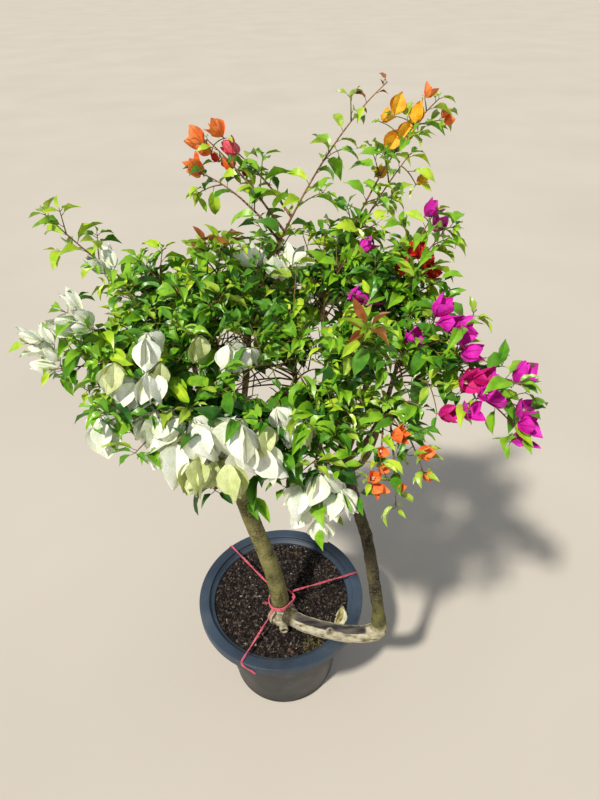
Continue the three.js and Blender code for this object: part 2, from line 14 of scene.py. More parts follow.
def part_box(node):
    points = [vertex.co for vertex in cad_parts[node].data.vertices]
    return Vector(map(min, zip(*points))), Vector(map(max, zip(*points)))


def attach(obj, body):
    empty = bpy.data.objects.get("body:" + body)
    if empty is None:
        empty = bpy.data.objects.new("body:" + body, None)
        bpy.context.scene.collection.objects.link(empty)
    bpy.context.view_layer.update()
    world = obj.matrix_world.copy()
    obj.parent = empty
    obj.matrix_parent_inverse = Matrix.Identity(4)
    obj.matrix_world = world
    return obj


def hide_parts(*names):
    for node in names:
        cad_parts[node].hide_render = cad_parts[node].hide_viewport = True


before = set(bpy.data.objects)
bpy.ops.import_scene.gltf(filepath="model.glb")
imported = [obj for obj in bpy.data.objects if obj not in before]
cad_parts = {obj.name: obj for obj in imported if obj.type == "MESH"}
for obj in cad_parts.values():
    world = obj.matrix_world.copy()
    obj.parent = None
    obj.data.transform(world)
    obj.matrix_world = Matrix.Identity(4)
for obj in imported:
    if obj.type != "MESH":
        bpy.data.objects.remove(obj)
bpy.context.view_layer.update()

MM = 0.001
UP = np.array([0.0, 0.0, 1.0])
GOLDEN = math.pi * (3 - math.sqrt(5))

# Pot and soil
POT_HEIGHT = 259
POT_BASE_RADIUS = 115
POT_NECK_RADIUS = 150.5
POT_NECK_HEIGHT = 246
POT_MOUTH_RADIUS = 158
POT_RIM_RADIUS = 180
POT_WALL = 3
POT_FLOOR = 4
POT_SKIRT = 20
POT_FOOT_HEIGHT = 10
POT_FOOT_EXTRA = 1.2
# Heights of the rings of the wall, which is a little uneven
WALL_ROWS = (11.5, 60, 120, 180, 222)
# Where the black body turns into the lip's lighter blue-grey, a painted sky reflection and sheen
LIP_REFLECTION_FADE = (239.2, 244.5)
SOIL_LEVEL = 250
SOIL_EDGE_LEVEL = 244
SOIL_PLATEAU = 108
SOIL_RADIUS = 147
SOIL_FOOT_RADIUS = 112.5
GRAIN_COUNT = 8600
GRAIN_LEAST = 1.0
GRAIN_RANGE = 2.5
# Where many grains are mossy: x, y and radius, and how many of them are
MOSS_PATCH = (72, -118, 26)
MOSS_SHARE = 0.4
# Kinds of grain: name, light and dark colour, and the share of the grains up to and with this kind
GRAINS = [
    ("dark", (44, 38, 35), (20, 17, 16), 0.5),
    ("brown", (86, 74, 67), (46, 38, 35), 0.88),
    ("tan", (122, 108, 96), (80, 69, 61), 0.988),
    ("pale", (176, 166, 150), (136, 126, 112), 0.998),
    ("red", (170, 52, 40), (120, 34, 26), 1),
    ("mossy", (116, 108, 64), (72, 70, 40), 1),
]

# Trunk and side stem, the same axes and radii as the solids have
TRUNK_AXIS = [(4, -43, 250.3), (-12, -38, 385), (-52, -28, 560), (-80, -22, 716)]
TRUNK_FOOT_RADIUS = 19.5
TRUNK_FORK_RADIUS = 13.5
FLARE_EXTRA = 11
FLARE_HEIGHT = 28
SIDE_AXIS = [
    (12, -66, 272), (60, -96, 279.3), (130, -116, 280.3), (180, -118, 281.3), (197, -116, 291),
    (198, -113, 335), (188, -104, 410), (170, -76, 520), (146, -54, 606), (125, -20, 717),
]
SIDE_MARKS = [0, 0.32, 0.4, 1]
SIDE_RADII = [16.5, 17.5, 12.5, 10]
BOUGH_ROOT_RADIUS = 6.2
BOUGH_TIP_RADIUS = 3.8
STEM_LENGTH = 62
STEM_TIP_RADIUS = 2.6

# Bark: a bough's ridges, and the trunk's burl, with the heights that its lumps and its callus reach
BOUGH_GRAIN = (4, 4, 13)
BARK_VOXEL = 1.7
BURL_LUMPS = 4
BURL_RADIUS = 15
BURL_START = -2.5
BURL_TURN = 0.72
BURL_REACH = (21, 25)
BURL_TOP = 300
CALLUS_TOP = 288
# Lumps in front of the trunk's foot: place and radius
FOOT_LUMPS = [(-14, -64, 262, 7), (22, -76, 268, 8), (-2, -74, 274, 7), (26, -60, 276, 8)]
# The sawn stub: its end seen from the trunk's foot, and its radius
STUB_REACH = (4, -54, 14)
STUB_RADIUS = 8.5
# The side stem, by shares of its length: its low run, its bend, where it is upright, and its cut knot
RUN_START = 0.03
RUN_END = 0.278
BEND_AT = 0.31
UPRIGHT_FROM = 0.4
KNOT_AT = 0.157
KNOT_WAY = (0, -0.5, 0.85)
KNOT_RADIUS = 8
KNOT_CORE = 3
# The low run's wood is bare where its skin faces up by more than this, between lips of callus.
BARE_FROM = 0.83
LIP_AT = 0.78
# Bumps on the side stem: share of its length, width, height and the way they face
SIDE_BUMPS = [
    (KNOT_AT, 6, 4.6, KNOT_WAY), (KNOT_AT, 2.2, -3.4, KNOT_WAY), (BEND_AT, 13, 3.0, (0.9, -0.4, -0.3)),
    (0.285, 8, 2.2, (0.1, -0.9, 0.3)), (0.335, 7, 2.6, (0.8, -0.6, 0.2)), (0.53, 8, 1.6, (0.5, -0.8, 0)),
    (0.69, 9, 2.0, (0.7, -0.6, 0)), (0.84, 8, 1.6, (-0.7, -0.6, 0.1)),
]

# Twigs and leaves
NODE_STEP = 19
NODE_KINK = 1.5
SHOOT_RADIUS = 2.0
SHORT_SHOOT_RADIUS = 1.6
SHOOT_TIP_RADIUS = 0.75
TWIG_STEP = 30
TWIGS_FROM = 0.16
TWIGS_SPAN = 0.74
TWIG_LENGTH = 52
TWIG_RADIUS = 1.15
TWIG_TIP_RADIUS = 0.6
LEAF_STEP = 17
LEAF_LENGTH = 55
LEAF_SLIMNESS = 0.5
PETIOLE = 8
PETIOLE_RADII = (0.65, 0.5)
LEAF_SPACING = 13
# How far leaves may leave the box of their mass's solid, and how near they come to a limb
SPACE_SLACK = 7
LIMB_CLEARANCE = 2.5
# A front mass ends this share of its reach under its middle.
UNDERSIDE = 0.35
# A shoot that hangs has this share of the usual twigs, and its leaves start further out.
HANGING_TWIGS = 0.35
HANGING_LEAVES_FROM = 0.45
LEAVES_FROM = 0.18
# Leaves are dealt lighter greens over this height, as painted light on the crown's top.
CROWN_FOOT = 780
CROWN_HEIGHT = 300
# The low masses in front have larger leaves, dealt deeper greens as painted shade under the crown.
BIG_LEAVES = {"low_front": 1.28, "front_white": 1.2}
BIG_LEAF_PAINTED_SHADE = 0.16
TWIG_LEAF_SIZE = 0.86
# Size of the leaves along the shoots, where it isn't 1
SHOOT_LEAF_SIZES = {"lower_right": 0.78, "top_left": 0.84, "top_right": 0.82}
# A star is a tuft of narrow young leaves. Every so many of them is bronze.
STAR_LEAVES = 9
STAR_TINTS = {"upper_left": 4, "front_right": 2}
FRONT_MASSES = ("lower_left", "front_white", "low_front", "centre", "front_right", "lower_right", "right")

# Each mass: host limb, height where its bough leaves it, bough tip, middle and reach of its foliage,
# count of fanned shoots, twigs' share of the usual count, and its long shoots. A long shoot is its tip,
# its lift, how its tip ends (green, young, bronze or star) and, where it forks from the mass's first
# shoot, the share of that shoot's length at which it does.
Mass = namedtuple("Mass", "host height tip centre reach fan twigs long_shoots")
# The masses' shoots are drawn from this seed on, one for each mass in turn.
FIRST_SEED = 11
CROWN = {
    "left_tip": Mass("trunk", 622, (-118, -12, 905), (-150, -10, 985), 62, 9, 0.8, [
        (-302, 30, 1106, -15, "young"), (-183, -36, 1030, 6, "green")]),
    "far_left": Mass("trunk", 674, (-134, -62, 862), (-190, -98, 932), 60, 9, 0.8, [
        (-318, -102, 975, -10, "green"), (-262, -90, 1016, -10, "green"), (-286, -124, 945, 4, "green")]),
    "lower_left": Mass("trunk", 640, (-118, -108, 818), (-158, -170, 896), 60, 10, 0.9, [
        (-210, -202, 936, 8, "green"), (-214, -205, 882, 14, "green"), (-146, -216, 872, 20, "green")]),
    "front_white": Mass("trunk", 690, (-74, -112, 800), (-62, -170, 880), 62, 11, 1.0, [
        (-100, -220, 856, 22, "green"), (-22, -236, 874, 20, "green"), (-64, -240, 822, 34, "green")]),
    "low_front": Mass("side", 650, (84, -108, 770), (44, -168, 862), 64, 12, 1.0, [
        (76, -222, 726, 30, "green"), (130, -200, 770, 24, "green"), (34, -190, 896, 8, "young"),
        (-22, -222, 790, 30, "green")]),
    "upper_left": Mass("trunk", 714, (-86, -48, 872), (-86, -72, 970), 72, 14, 1.1, [
        (-49, -22, 1080, 0, "star"), (-42, -128, 962, 10, "green"), (-68, -28, 1078, 0, "star")]),
    "top_left": Mass("trunk", 692, (-26, -6, 905), (10, 34, 1020), 60, 8, 0.3, [
        (181, 101, 1252, 38, "bronze"), (-72, 100, 1184, 8, "green", 0.34),
        (-90, 84, 1144, 16, "green", 0.3), (-32, 100, 1166, 8, "young", 0.4)]),
    "back_left": Mass("trunk", 676, (-116, 44, 832), (-150, 108, 898), 76, 13, 1.0, [
        (-246, 120, 930, 10, "young"), (-150, 190, 940, 16, "green")]),
    "back": Mass("trunk", 650, (-42, 78, 832), (-10, 172, 908), 80, 14, 1.0, [
        (-30, 262, 940, 18, "young"), (56, 246, 900, 18, "green")]),
    "centre": Mass("side", 690, (52, -58, 846), (6, -108, 930), 80, 15, 1.1, [
        (52, -20, 1046, 4, "young"), (-34, -156, 926, 14, "green"), (34, -152, 966, 8, "young")]),
    "front_right": Mass("side", 706, (118, -84, 840), (122, -122, 935), 64, 12, 1.1, [
        (134, -196, 1040, 0, "star"), (112, -190, 880, 16, "young")]),
    "upper_right": Mass("side", 690, (163, -22, 882), (186, -36, 992), 62, 10, 0.9, [
        (242, 0, 1106, 6, "green"), (262, 6, 1080, 6, "young"), (238, -28, 1038, 8, "green"),
        (152, 2, 1066, 0, "young")]),
    "top_right": Mass("side", 716, (92, 2, 915), (104, 26, 1030), 58, 9, 0.55, [
        (254, 100, 1230, 36, "young"), (212, 58, 1168, 14, "green")]),
    "right": Mass("side", 682, (186, -86, 866), (228, -120, 938), 54, 9, 0.8, [
        (350, -202, 914, 4, "green"), (336, -198, 953, 6, "green"), (346, -204, 876, 30, "green"),
        (258, -150, 1012, 2, "green")]),
    "lower_right": Mass("side", 664, (166, -128, 832), (184, -196, 890), 42, 6, 0.6, [
        (178, -250, 792, 30, "young"), (152, -250, 876, 14, "green"), (210, -246, 852, 18, "young")]),
    "back_right": Mass("side", 676, (138, 62, 852), (146, 134, 924), 78, 14, 1.0, [
        (236, 160, 956, 12, "green"), (130, 222, 948, 16, "young")]),
}

# How a head's flowers point (outward and up), how far their bracts open, and how broad those are
WAYS = {
    "hang": (0.25, -1.0, 0.5, 0.42),
    "lantern": (0.45, 0.8, 0.34, 0.4),
    "open": (0.8, 0.45, 0.8, 0.38),
    "spike": (0.8, 0.55, 0.5, 0.3),
}
# Flowers point away from here.
CROWN_MIDDLE = (20, -30, 940)
# Blossom: the mass that bears it, its colour, the bracts' length, the way of its heads, and the places
# of the heads with the count of flowers in each
BLOSSOM = [
    ("left_tip", "white", 36, "spike", [(-227, 6, 1043, 2), (-238, 2, 1037, 2)]),
    ("far_left", "white", 36, "spike", [
        (-255, -92, 1019, 2), (-299, -104, 975, 2), (-308, -110, 990, 1), (-294, -112, 952, 2),
        (-243, -92, 1000, 2), (-270, -100, 993, 1)]),
    ("lower_left", "white", 44, "hang", [
        (-146, -150, 989, 2), (-144, -176, 952, 2), (-185, -180, 967, 1), (-159, -176, 937, 2)]),
    ("lower_left", "lime", 42, "hang", [(-181, -188, 975, 1), (-128, -170, 962, 1)]),
    ("lower_left", "white", 48, "hang", [
        (-213, -204, 899, 3), (-157, -210, 895, 3), (-130, -208, 903, 2), (-96, -214, 902, 2)]),
    ("upper_left", "lime", 38, "hang", [(-79, -128, 978, 1)]),
    ("front_white", "white", 56, "hang", [
        (-90, -222, 897, 2), (-106, -224, 868, 2), (-24, -238, 908, 2), (-12, -236, 890, 1),
        (-14, -238, 872, 3), (-78, -232, 878, 1)]),
    ("front_white", "lime", 52, "hang", [
        (-52, -240, 848, 3), (-76, -236, 858, 2), (3, -228, 899, 1), (-104, -222, 880, 1)]),
    ("centre", "white", 38, "hang", [(-47, -120, 960, 2), (-13, -142, 962, 2), (14, -190, 901, 2)]),
    ("low_front", "white", 46, "hang", [
        (84, -218, 806, 3), (57, -220, 782, 3), (104, -206, 766, 3), (67, -218, 744, 2), (46, -180, 883, 2),
        (74, -220, 718, 1)]),
    ("low_front", "lime", 44, "hang", [(54, -184, 870, 1), (80, -214, 762, 1)]),
    ("top_left", "white", 38, "open", [(-10, 10, 1046, 2), (45, 8, 1045, 2), (32, 2, 1028, 2)]),
    ("top_left", "orange", 27, "open", [
        (-78, 98, 1190, 2), (-51, 104, 1195, 2), (-72, 96, 1176, 1), (-90, 85, 1151, 2),
        (-44, 96, 1150, 1)]),
    ("top_left", "pink", 27, "open", [(-31, 100, 1175, 2), (-40, 98, 1168, 1)]),
    ("top_left", "red", 15, "open", [(-20, 98, 1137, 1), (-60, 94, 1160, 1)]),
    ("upper_right", "magenta", 29, "open", [
        (240, 2, 1109, 1), (260, 4, 1080, 2), (151, 0, 1062, 1), (134, -42, 1006, 1), (156, -52, 1002, 1)]),
    ("upper_right", "red", 26, "open", [(217, -18, 1064, 2), (198, -38, 1042, 1), (241, -22, 1038, 2)]),
    ("right", "magenta", 34, "open", [
        (238, -140, 1023, 2), (258, -144, 1010, 2), (207, -124, 982, 1), (271, -168, 986, 1),
        (295, -190, 945, 2), (304, -192, 929, 1), (274, -198, 913, 1), (336, -200, 957, 2),
        (349, -204, 905, 2), (349, -204, 866, 1)]),
    ("right", "crimson", 30, "open", [(269, -180, 956, 2), (244, -194, 909, 1), (282, -186, 962, 1)]),
    ("lower_right", "orange", 25, "open", [(169, -244, 908, 2), (207, -242, 882, 1), (149, -248, 836, 2)]),
    ("lower_right", "orange", 17, "open", [
        (153, -246, 890, 1), (155, -246, 862, 1), (182, -248, 828, 1), (214, -244, 846, 1)]),
    ("top_right", "yellow", 34, "lantern", [
        (197, 94, 1226, 1), (228, 92, 1214, 1), (206, 84, 1194, 1), (188, 82, 1180, 1)]),
    ("top_right", "yellow", 21, "open", [(172, 66, 1143, 1), (231, 54, 1135, 1), (181, 90, 1211, 1)]),
    ("top_right", "orange", 19, "open", [(266, 98, 1208, 2), (240, 102, 1236, 1)]),
]

# The photograph's camera, in degrees for its tilt and roll
CAMERA_AT = (52, -810, 1397)
CAMERA_TILT = 36.82
CAMERA_ROLL = -1.35
CAMERA_LENS = 27
CAMERA_SENSOR = 36

# Gaps through the crown where ground shows between the twigs. Each is a tunnel along the camera's line
# of sight: x and z where it crosses the upright plane y = GAP_PLANE, and its radius.
GAP_PLANE = -100
GAPS = [(-40, 965, 18), (-15, 961, 18), (13, 917, 17), (42, 916, 20), (62, 922, 15), (-26, 897, 18),
        (-2, 885, 17), (92, 1011, 15), (-92, 818, 13), (73, 1029, 11), (-56, 1001, 11)]

# No leaf hangs lower than this on the plant, or, on a flower's stalk, further than this under the flower.
LOWEST_LEAF = 716
FLOWER_HEM = 8
# A flower's stalk is drawn from this length on, and has leaves from the second one on.
SHORTEST_STALK = 3
LEAFY_STALK = 14

FALLEN_ROOT = (118, -78, 250)

# Twine: the loop's height on the trunk, its dip to the front, its pull to the right and sag on the left
TWINE_LEVEL = 297
TWINE_DIP = 10
TWINE_PULL = 9
TWINE_SAG = 6
TWINE_RADIUS = 1.35
TWINE_KNOT_RADIUS = 3.6
FRAYED_FIBRES = 9
LOOP_RADIUS = TRUNK_FOOT_RADIUS + 2.2
# The loop's three turns: height, and the angle from which each one's waves are counted
LOOP_TURNS = [(-2.2, 0), (0, 1.4), (2.2, 2.9)]
# Two twisted strands: how far from the middle, the length of a twist, and their radius
RUN_TWIST = (1.1, 130, 1.2)
TAIL_TWIST = (0.9, 60, 1.1)
# Where the runs cross the rim, at the back, on the right and in front
TWINE_RUNS = [(-119, 131), (172, 47), (-77, -160)]
# A run's tail: how far outside the rim, its turn round it and its height over it
TWINE_TAIL = [(1.5, 0.01, -1), (2.2, 0.05, -7), (2.0, 0.12, -13), (2.4, 0.17, -20)]
# Grafts with tape: the bough, and the share of its length
GRAFTS = [("centre", 0.93), ("upper_left", 0.9), ("front_white", 0.8), ("front_right", 0.9),
          ("low_front", 0.86), ("top_left", 0.9)]

# Outlines of the blades: places along them, half widths there, and a bract's columns across it
LEAF_ROWS = np.array([0, 0.1, 0.26, 0.46, 0.66, 0.84, 1])
LEAF_HALF = np.array([0.04, 0.52, 0.94, 0.98, 0.66, 0.27, 0.0])
BRACT_ROWS = np.array([0, 0.08, 0.22, 0.4, 0.58, 0.75, 0.9, 1])
BRACT_HALF = np.array([0.1, 0.56, 0.9, 1.0, 0.92, 0.68, 0.32, 0.02])
BRACT_COLUMNS = np.array([-1, -0.55, -0.05, 0.05, 0.55, 1])

# Colours, from light to dark; a bract's third one is for its veins
BARK_SKINS = {
    "trunk": ((168, 161, 106), (116, 110, 68), (60, 56, 36)),
    # The side stem's bark is its own grey-brown, darkened further as painted shade from the crown.
    "stem": ((116, 106, 78), (76, 70, 52), (40, 37, 28)),
    "bough": ((132, 112, 76), (104, 88, 54), (66, 56, 36)),
    "shoot": ((190, 144, 108), (156, 110, 80), (108, 78, 56)),
    "young": ((146, 150, 70), (122, 128, 56), (104, 84, 50)),
}
LEAF_SKINS = {
    "fresh": ((198, 222, 58), (160, 200, 38)),
    "bright": ((146, 196, 42), (108, 166, 30)),
    "mid": ((98, 158, 34), (68, 128, 26)),
    "deep": ((56, 112, 28), (34, 82, 20)),
    "young": ((174, 202, 66), (136, 166, 42)),
    "bronze": ((166, 102, 52), (126, 76, 38)),
}
# A leaf's tone by its value, from inside and below to outside and above: deeper greens inside as painted
# shade, lighter greens outside as painted light
PAINTED_LIGHT_TONES = [(0.26, "deep"), (0.56, "mid"), (0.86, "bright"), (math.inf, "fresh")]
BRACT_SKINS = {
    "white": ((255, 255, 247), (240, 246, 220), (200, 214, 146)),
    "lime": ((228, 233, 176), (200, 211, 134), (156, 174, 94)),
    "orange": ((255, 152, 80), (246, 118, 46), (208, 90, 34)),
    "pink": ((250, 126, 138), (232, 88, 104), (190, 66, 64)),
    "magenta": ((240, 48, 204), (206, 20, 164), (160, 12, 120)),
    "crimson": ((230, 36, 146), (194, 16, 108), (136, 12, 76)),
    "red": ((236, 60, 44), (206, 34, 28), (150, 24, 18)),
    "yellow": ((254, 200, 48), (238, 160, 22), (206, 122, 16)),
}
VEIN_CELLS = 150
VEIN_WIDTH = 0.07
VEIN_STRENGTH = 0.3
# A mask's stops for scattered specks
SPECKS = ((0.66, 0), (0.74, 1))

FLOOR_REACH = 30000
SKY_COLOUR = (0.86, 0.92, 1.0, 1)
SKY_POWER = 0.36
# Suns: name, place in metres, spread in degrees, power and colour
LIGHTS = [
    ("key", (-1.4, -1.7, 3.8), 4, 3.25, (1.0, 0.96, 0.88)),
    ("fill", (2.6, -1.8, 2.2), 60, 0.12, (0.92, 0.96, 1.0)),
]
LIGHTS_AIM = (0.02, -0.03, 0.7)


# Numbers and vectors
def seeded(seed):
    """A repeatable row of numbers between 0 and 1."""
    state = (seed * 7919) % 2147483647
    while True:
        state = (state * 48271) % 2147483647
        yield state / 2147483647


def unit(vector):
    vector = np.asarray(vector, float)
    return vector / np.maximum(np.linalg.norm(vector, axis=-1, keepdims=True), 1e-9)


def distance(first, second):
    return np.linalg.norm(np.subtract(first, second), axis=-1)


def circle(count):
    """Angles evenly spaced round a full turn."""
    return 2 * math.pi * np.arange(count) / count


def polar(radius, angle):
    return radius * np.cos(angle), radius * np.sin(angle)


def square_to(axis, angle):
    """The direction square to an axis, turned round it by an angle."""
    reference = UP if abs(axis[2]) < 0.9 else np.array([1.0, 0.0, 0.0])
    first = unit(np.cross(axis, reference))
    return first * math.cos(angle) + np.cross(axis, first) * math.sin(angle)


def facing(direction, wanted):
    """A unit vector square to direction, as near as can be to the wanted one."""
    wanted = np.asarray(wanted, float)
    return unit(wanted - direction * np.sum(wanted * direction, axis=-1, keepdims=True))


def share(past, width):
    """How far past a limit: 0 up to the limit, and 1 from the width on."""
    return np.clip(past / width, 0, 1)


def hump(away, width):
    """The height of a round bump, 1 at its middle."""
    return np.exp(-(away / width) ** 2)


def lattice(cells):
    """A repeatable number from 0 to 1 for each whole-numbered place."""
    mixed = np.sum(cells * [374761393, 668265263, 1274126177], axis=-1) & 0xFFFFFFFF
    mixed = ((mixed ^ (mixed >> 13)) * 1274126177) & 0xFFFFFFFF
    return ((mixed ^ (mixed >> 16)) & 0xFFFF) / 65535


def noise(points):
    """Smooth noise from -1 to 1 at each point, with cells one unit wide."""
    cells = np.floor(points).astype(np.int64)
    part = points - cells
    part = part * part * (3 - 2 * part)
    total = 0
    for corner in product((0, 1), repeat=3):
        weight = np.prod(np.where(corner, part, 1 - part), axis=-1)
        total = total + weight * lattice(cells + corner)
    return 2 * total - 1


def rough(points, octaves=3):
    """Noise with finer and fainter noise on top."""
    return sum(noise(points * 2**k + 17 * k) / 2**k for k in range(octaves))


class Path:
    """A line through many close points, read by its share of the length."""

    def __init__(self, points):
        self.points = np.asarray(points, float)
        steps = np.linalg.norm(np.diff(self.points, axis=0), axis=1)
        self.marks = np.concatenate(([0], np.cumsum(steps)))
        self.length = self.marks[-1]

    def at(self, along):
        run = np.clip(np.asarray(along, float), 0, 1) * self.length
        return np.stack([np.interp(run, self.marks, self.points[:, k]) for k in range(3)], -1)

    def tangent(self, along):
        along = np.asarray(along, float)
        return unit(self.at(np.minimum(along + 0.01, 1)) - self.at(np.maximum(along - 0.01, 0)))


def straight(start, end):
    return Path([start, (start + end) / 2, end])


def bend(start, control, tip, count=24):
    """A curve that leaves towards the control point and comes to the tip from it."""
    t = np.linspace(0, 1, count + 1)[:, None]
    return Path((1 - t) ** 2 * start + 2 * t * (1 - t) * control + t**2 * tip)


def arch(start, tip, lift, count=20):
    """A curve whose middle rises by lift over the straight line."""
    start, tip = np.asarray(start, float), np.asarray(tip, float)
    return bend(start, (start + tip) / 2 + UP * 2 * lift, tip, count)


def spline(points, count=40):
    """A smooth curve through the points (centripetal)."""
    points = [np.asarray(p, float) for p in points]
    points = [2 * points[0] - points[1], *points, 2 * points[-1] - points[-2]]
    t = np.linspace(0, 1, count, endpoint=False)[:, None]
    rows = []
    for a, b, c, d in zip(points, points[1:], points[2:], points[3:]):
        gaps = [max(np.sum((q - p) ** 2) ** 0.25, 1e-4) for p, q in ((a, b), (b, c), (c, d))]
        leave = (b - a) / gaps[0] - (c - a) / (gaps[0] + gaps[1]) + (c - b) / gaps[1]
        reach = (c - b) / gaps[1] - (d - b) / (gaps[1] + gaps[2]) + (d - c) / gaps[2]
        leave, reach = leave * gaps[1], reach * gaps[1]
        rows.append(b + leave * t + (3 * (c - b) - 2 * leave - reach) * t**2
                    + (2 * (b - c) + leave + reach) * t**3)
    return Path(np.vstack([*rows, points[-2][None]]))


# Meshes
class Heap:
    """Points and triangles gathered for one piece, each triangle with its material's number."""

    def __init__(self):
        self.points, self.faces, self.kinds, self.count = [], [], [], 0

    def add(self, points, faces, kind=0):
        points = np.asarray(points, float).reshape(-1, 3)
        self.points.append(points)
        self.faces.append(np.asarray(faces, int) + self.count)
        self.kinds.append(np.broadcast_to(np.asarray(kind, int), (len(faces),)))
        self.count += len(points)

    def mesh(self, name, smooth=True):
        mesh = bpy.data.meshes.new(name)
        mesh.from_pydata(np.vstack(self.points) * MM, [], np.vstack(self.faces))
        mesh.polygons.foreach_set("material_index", np.concatenate(self.kinds).astype(np.int32))
        mesh.polygons.foreach_set("use_smooth", np.full(len(mesh.polygons), smooth))
        mesh.update()
        return mesh


def stand(name, data):
    """A new object in the scene."""
    made = bpy.data.objects.new(name, data)
    bpy.context.scene.collection.objects.link(made)
    return made


def place(name, shape, materials, slot, *nodes):
    """Puts a heap or a mesh in the scene as a piece of the plant that stands for the named nodes."""
    mesh = shape.mesh(name) if isinstance(shape, Heap) else shape
    piece = stand(name, mesh)
    for material in materials:
        mesh.materials.append(material)
    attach(piece, "root")
    if nodes:
        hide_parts(*nodes)


def grid_faces(rows, columns, closed=True):
    """Triangles of a sheet of points, rows by columns; a closed one joins its last column to its first."""
    across = columns if closed else columns - 1
    r, c = np.meshgrid(np.arange(rows - 1), np.arange(across), indexing="ij")
    a = (r * columns + c).ravel()
    b = (r * columns + (c + 1) % columns).ravel()
    return np.vstack([np.stack([a, b, b + columns], 1), np.stack([a, b + columns, a + columns], 1)])


def tube_faces(rows, sides):
    """Triangles of a tube's rings and of its two ends, whose middles come after the rings' points."""
    ring, top = np.arange(sides), (rows - 1) * sides
    after = (ring + 1) % sides
    low, high = np.full((2, sides), [[rows * sides], [rows * sides + 1]])
    ends = [np.stack([low, after, ring], 1), np.stack([high, top + ring, top + after], 1)]
    return np.vstack([grid_faces(rows, sides), *ends])


def copies(template, size, count):
    """The triangles of one small shape repeated for a row of like shapes, of size points each."""
    return (np.asarray(template)[None] + size * np.arange(count)[:, None, None]).reshape(-1, 3)


def rings_along(path, rows, sides):
    """Centres, outward directions and tangents of the rings of a limb."""
    along = np.linspace(0, 1, rows)
    centres, tangents = path.at(along), path.tangent(along)
    first = square_to(tangents[0], 0)
    normals = []
    for tangent in tangents:
        first = facing(tangent, first)
        normals.append(first)
    normals = np.array(normals)
    angles = circle(sides)
    outward = (normals[:, None] * np.cos(angles)[None, :, None]
               + np.cross(tangents, normals)[:, None] * np.sin(angles)[None, :, None])
    return along, centres, outward, tangents


def taper(start, end):
    return lambda along: start + (end - start) * along


def even(radius):
    return taper(radius, radius)


def limb(heap, path, radius, sides, rows, kind=0, relief=0):
    """A round limb with closed ends. relief is the height of its bark's ridges."""
    along, centres, outward, _ = rings_along(path, rows, sides)
    radii = np.array([radius(a) for a in along])[:, None]
    if relief:
        spots = centres[:, None] + outward * radii[..., None]
        radii = radii + relief * rough(spots / BOUGH_GRAIN)
    points = centres[:, None] + outward * radii[..., None]
    heap.add(np.vstack([points.reshape(-1, 3), centres[:1], centres[-1:]]), tube_faces(rows, sides), kind)


def sticks(heap, starts, ends, thick, thin):
    """Many thin straight three-sided stalks at once."""
    axis = unit(ends - starts)
    side = unit(np.cross(axis, np.where(np.abs(axis[:, 2:]) < 0.9, UP, [1.0, 0, 0])))
    other = np.cross(axis, side)
    corners = [centre + radius * (side * math.cos(angle) + other * math.sin(angle))
               for centre, radius in ((starts, thick), (ends, thin)) for angle in circle(3)]
    template = [(0, 1, 4), (0, 4, 3), (1, 2, 5), (1, 5, 4), (2, 0, 3), (2, 3, 5)]
    heap.add(np.stack(corners, 1), copies(template, 6, len(starts)))


# Materials
def linear(colour):
    """A screen colour of 0 to 255, or a grey level of 0 to 1, as the shader wants it."""
    if np.isscalar(colour):
        return (colour, colour, colour, 1)
    scaled = [c / 255 for c in colour]
    return tuple(c / 12.92 if c <= 0.04045 else ((c + 0.055) / 1.055) ** 2.4 for c in scaled) + (1,)


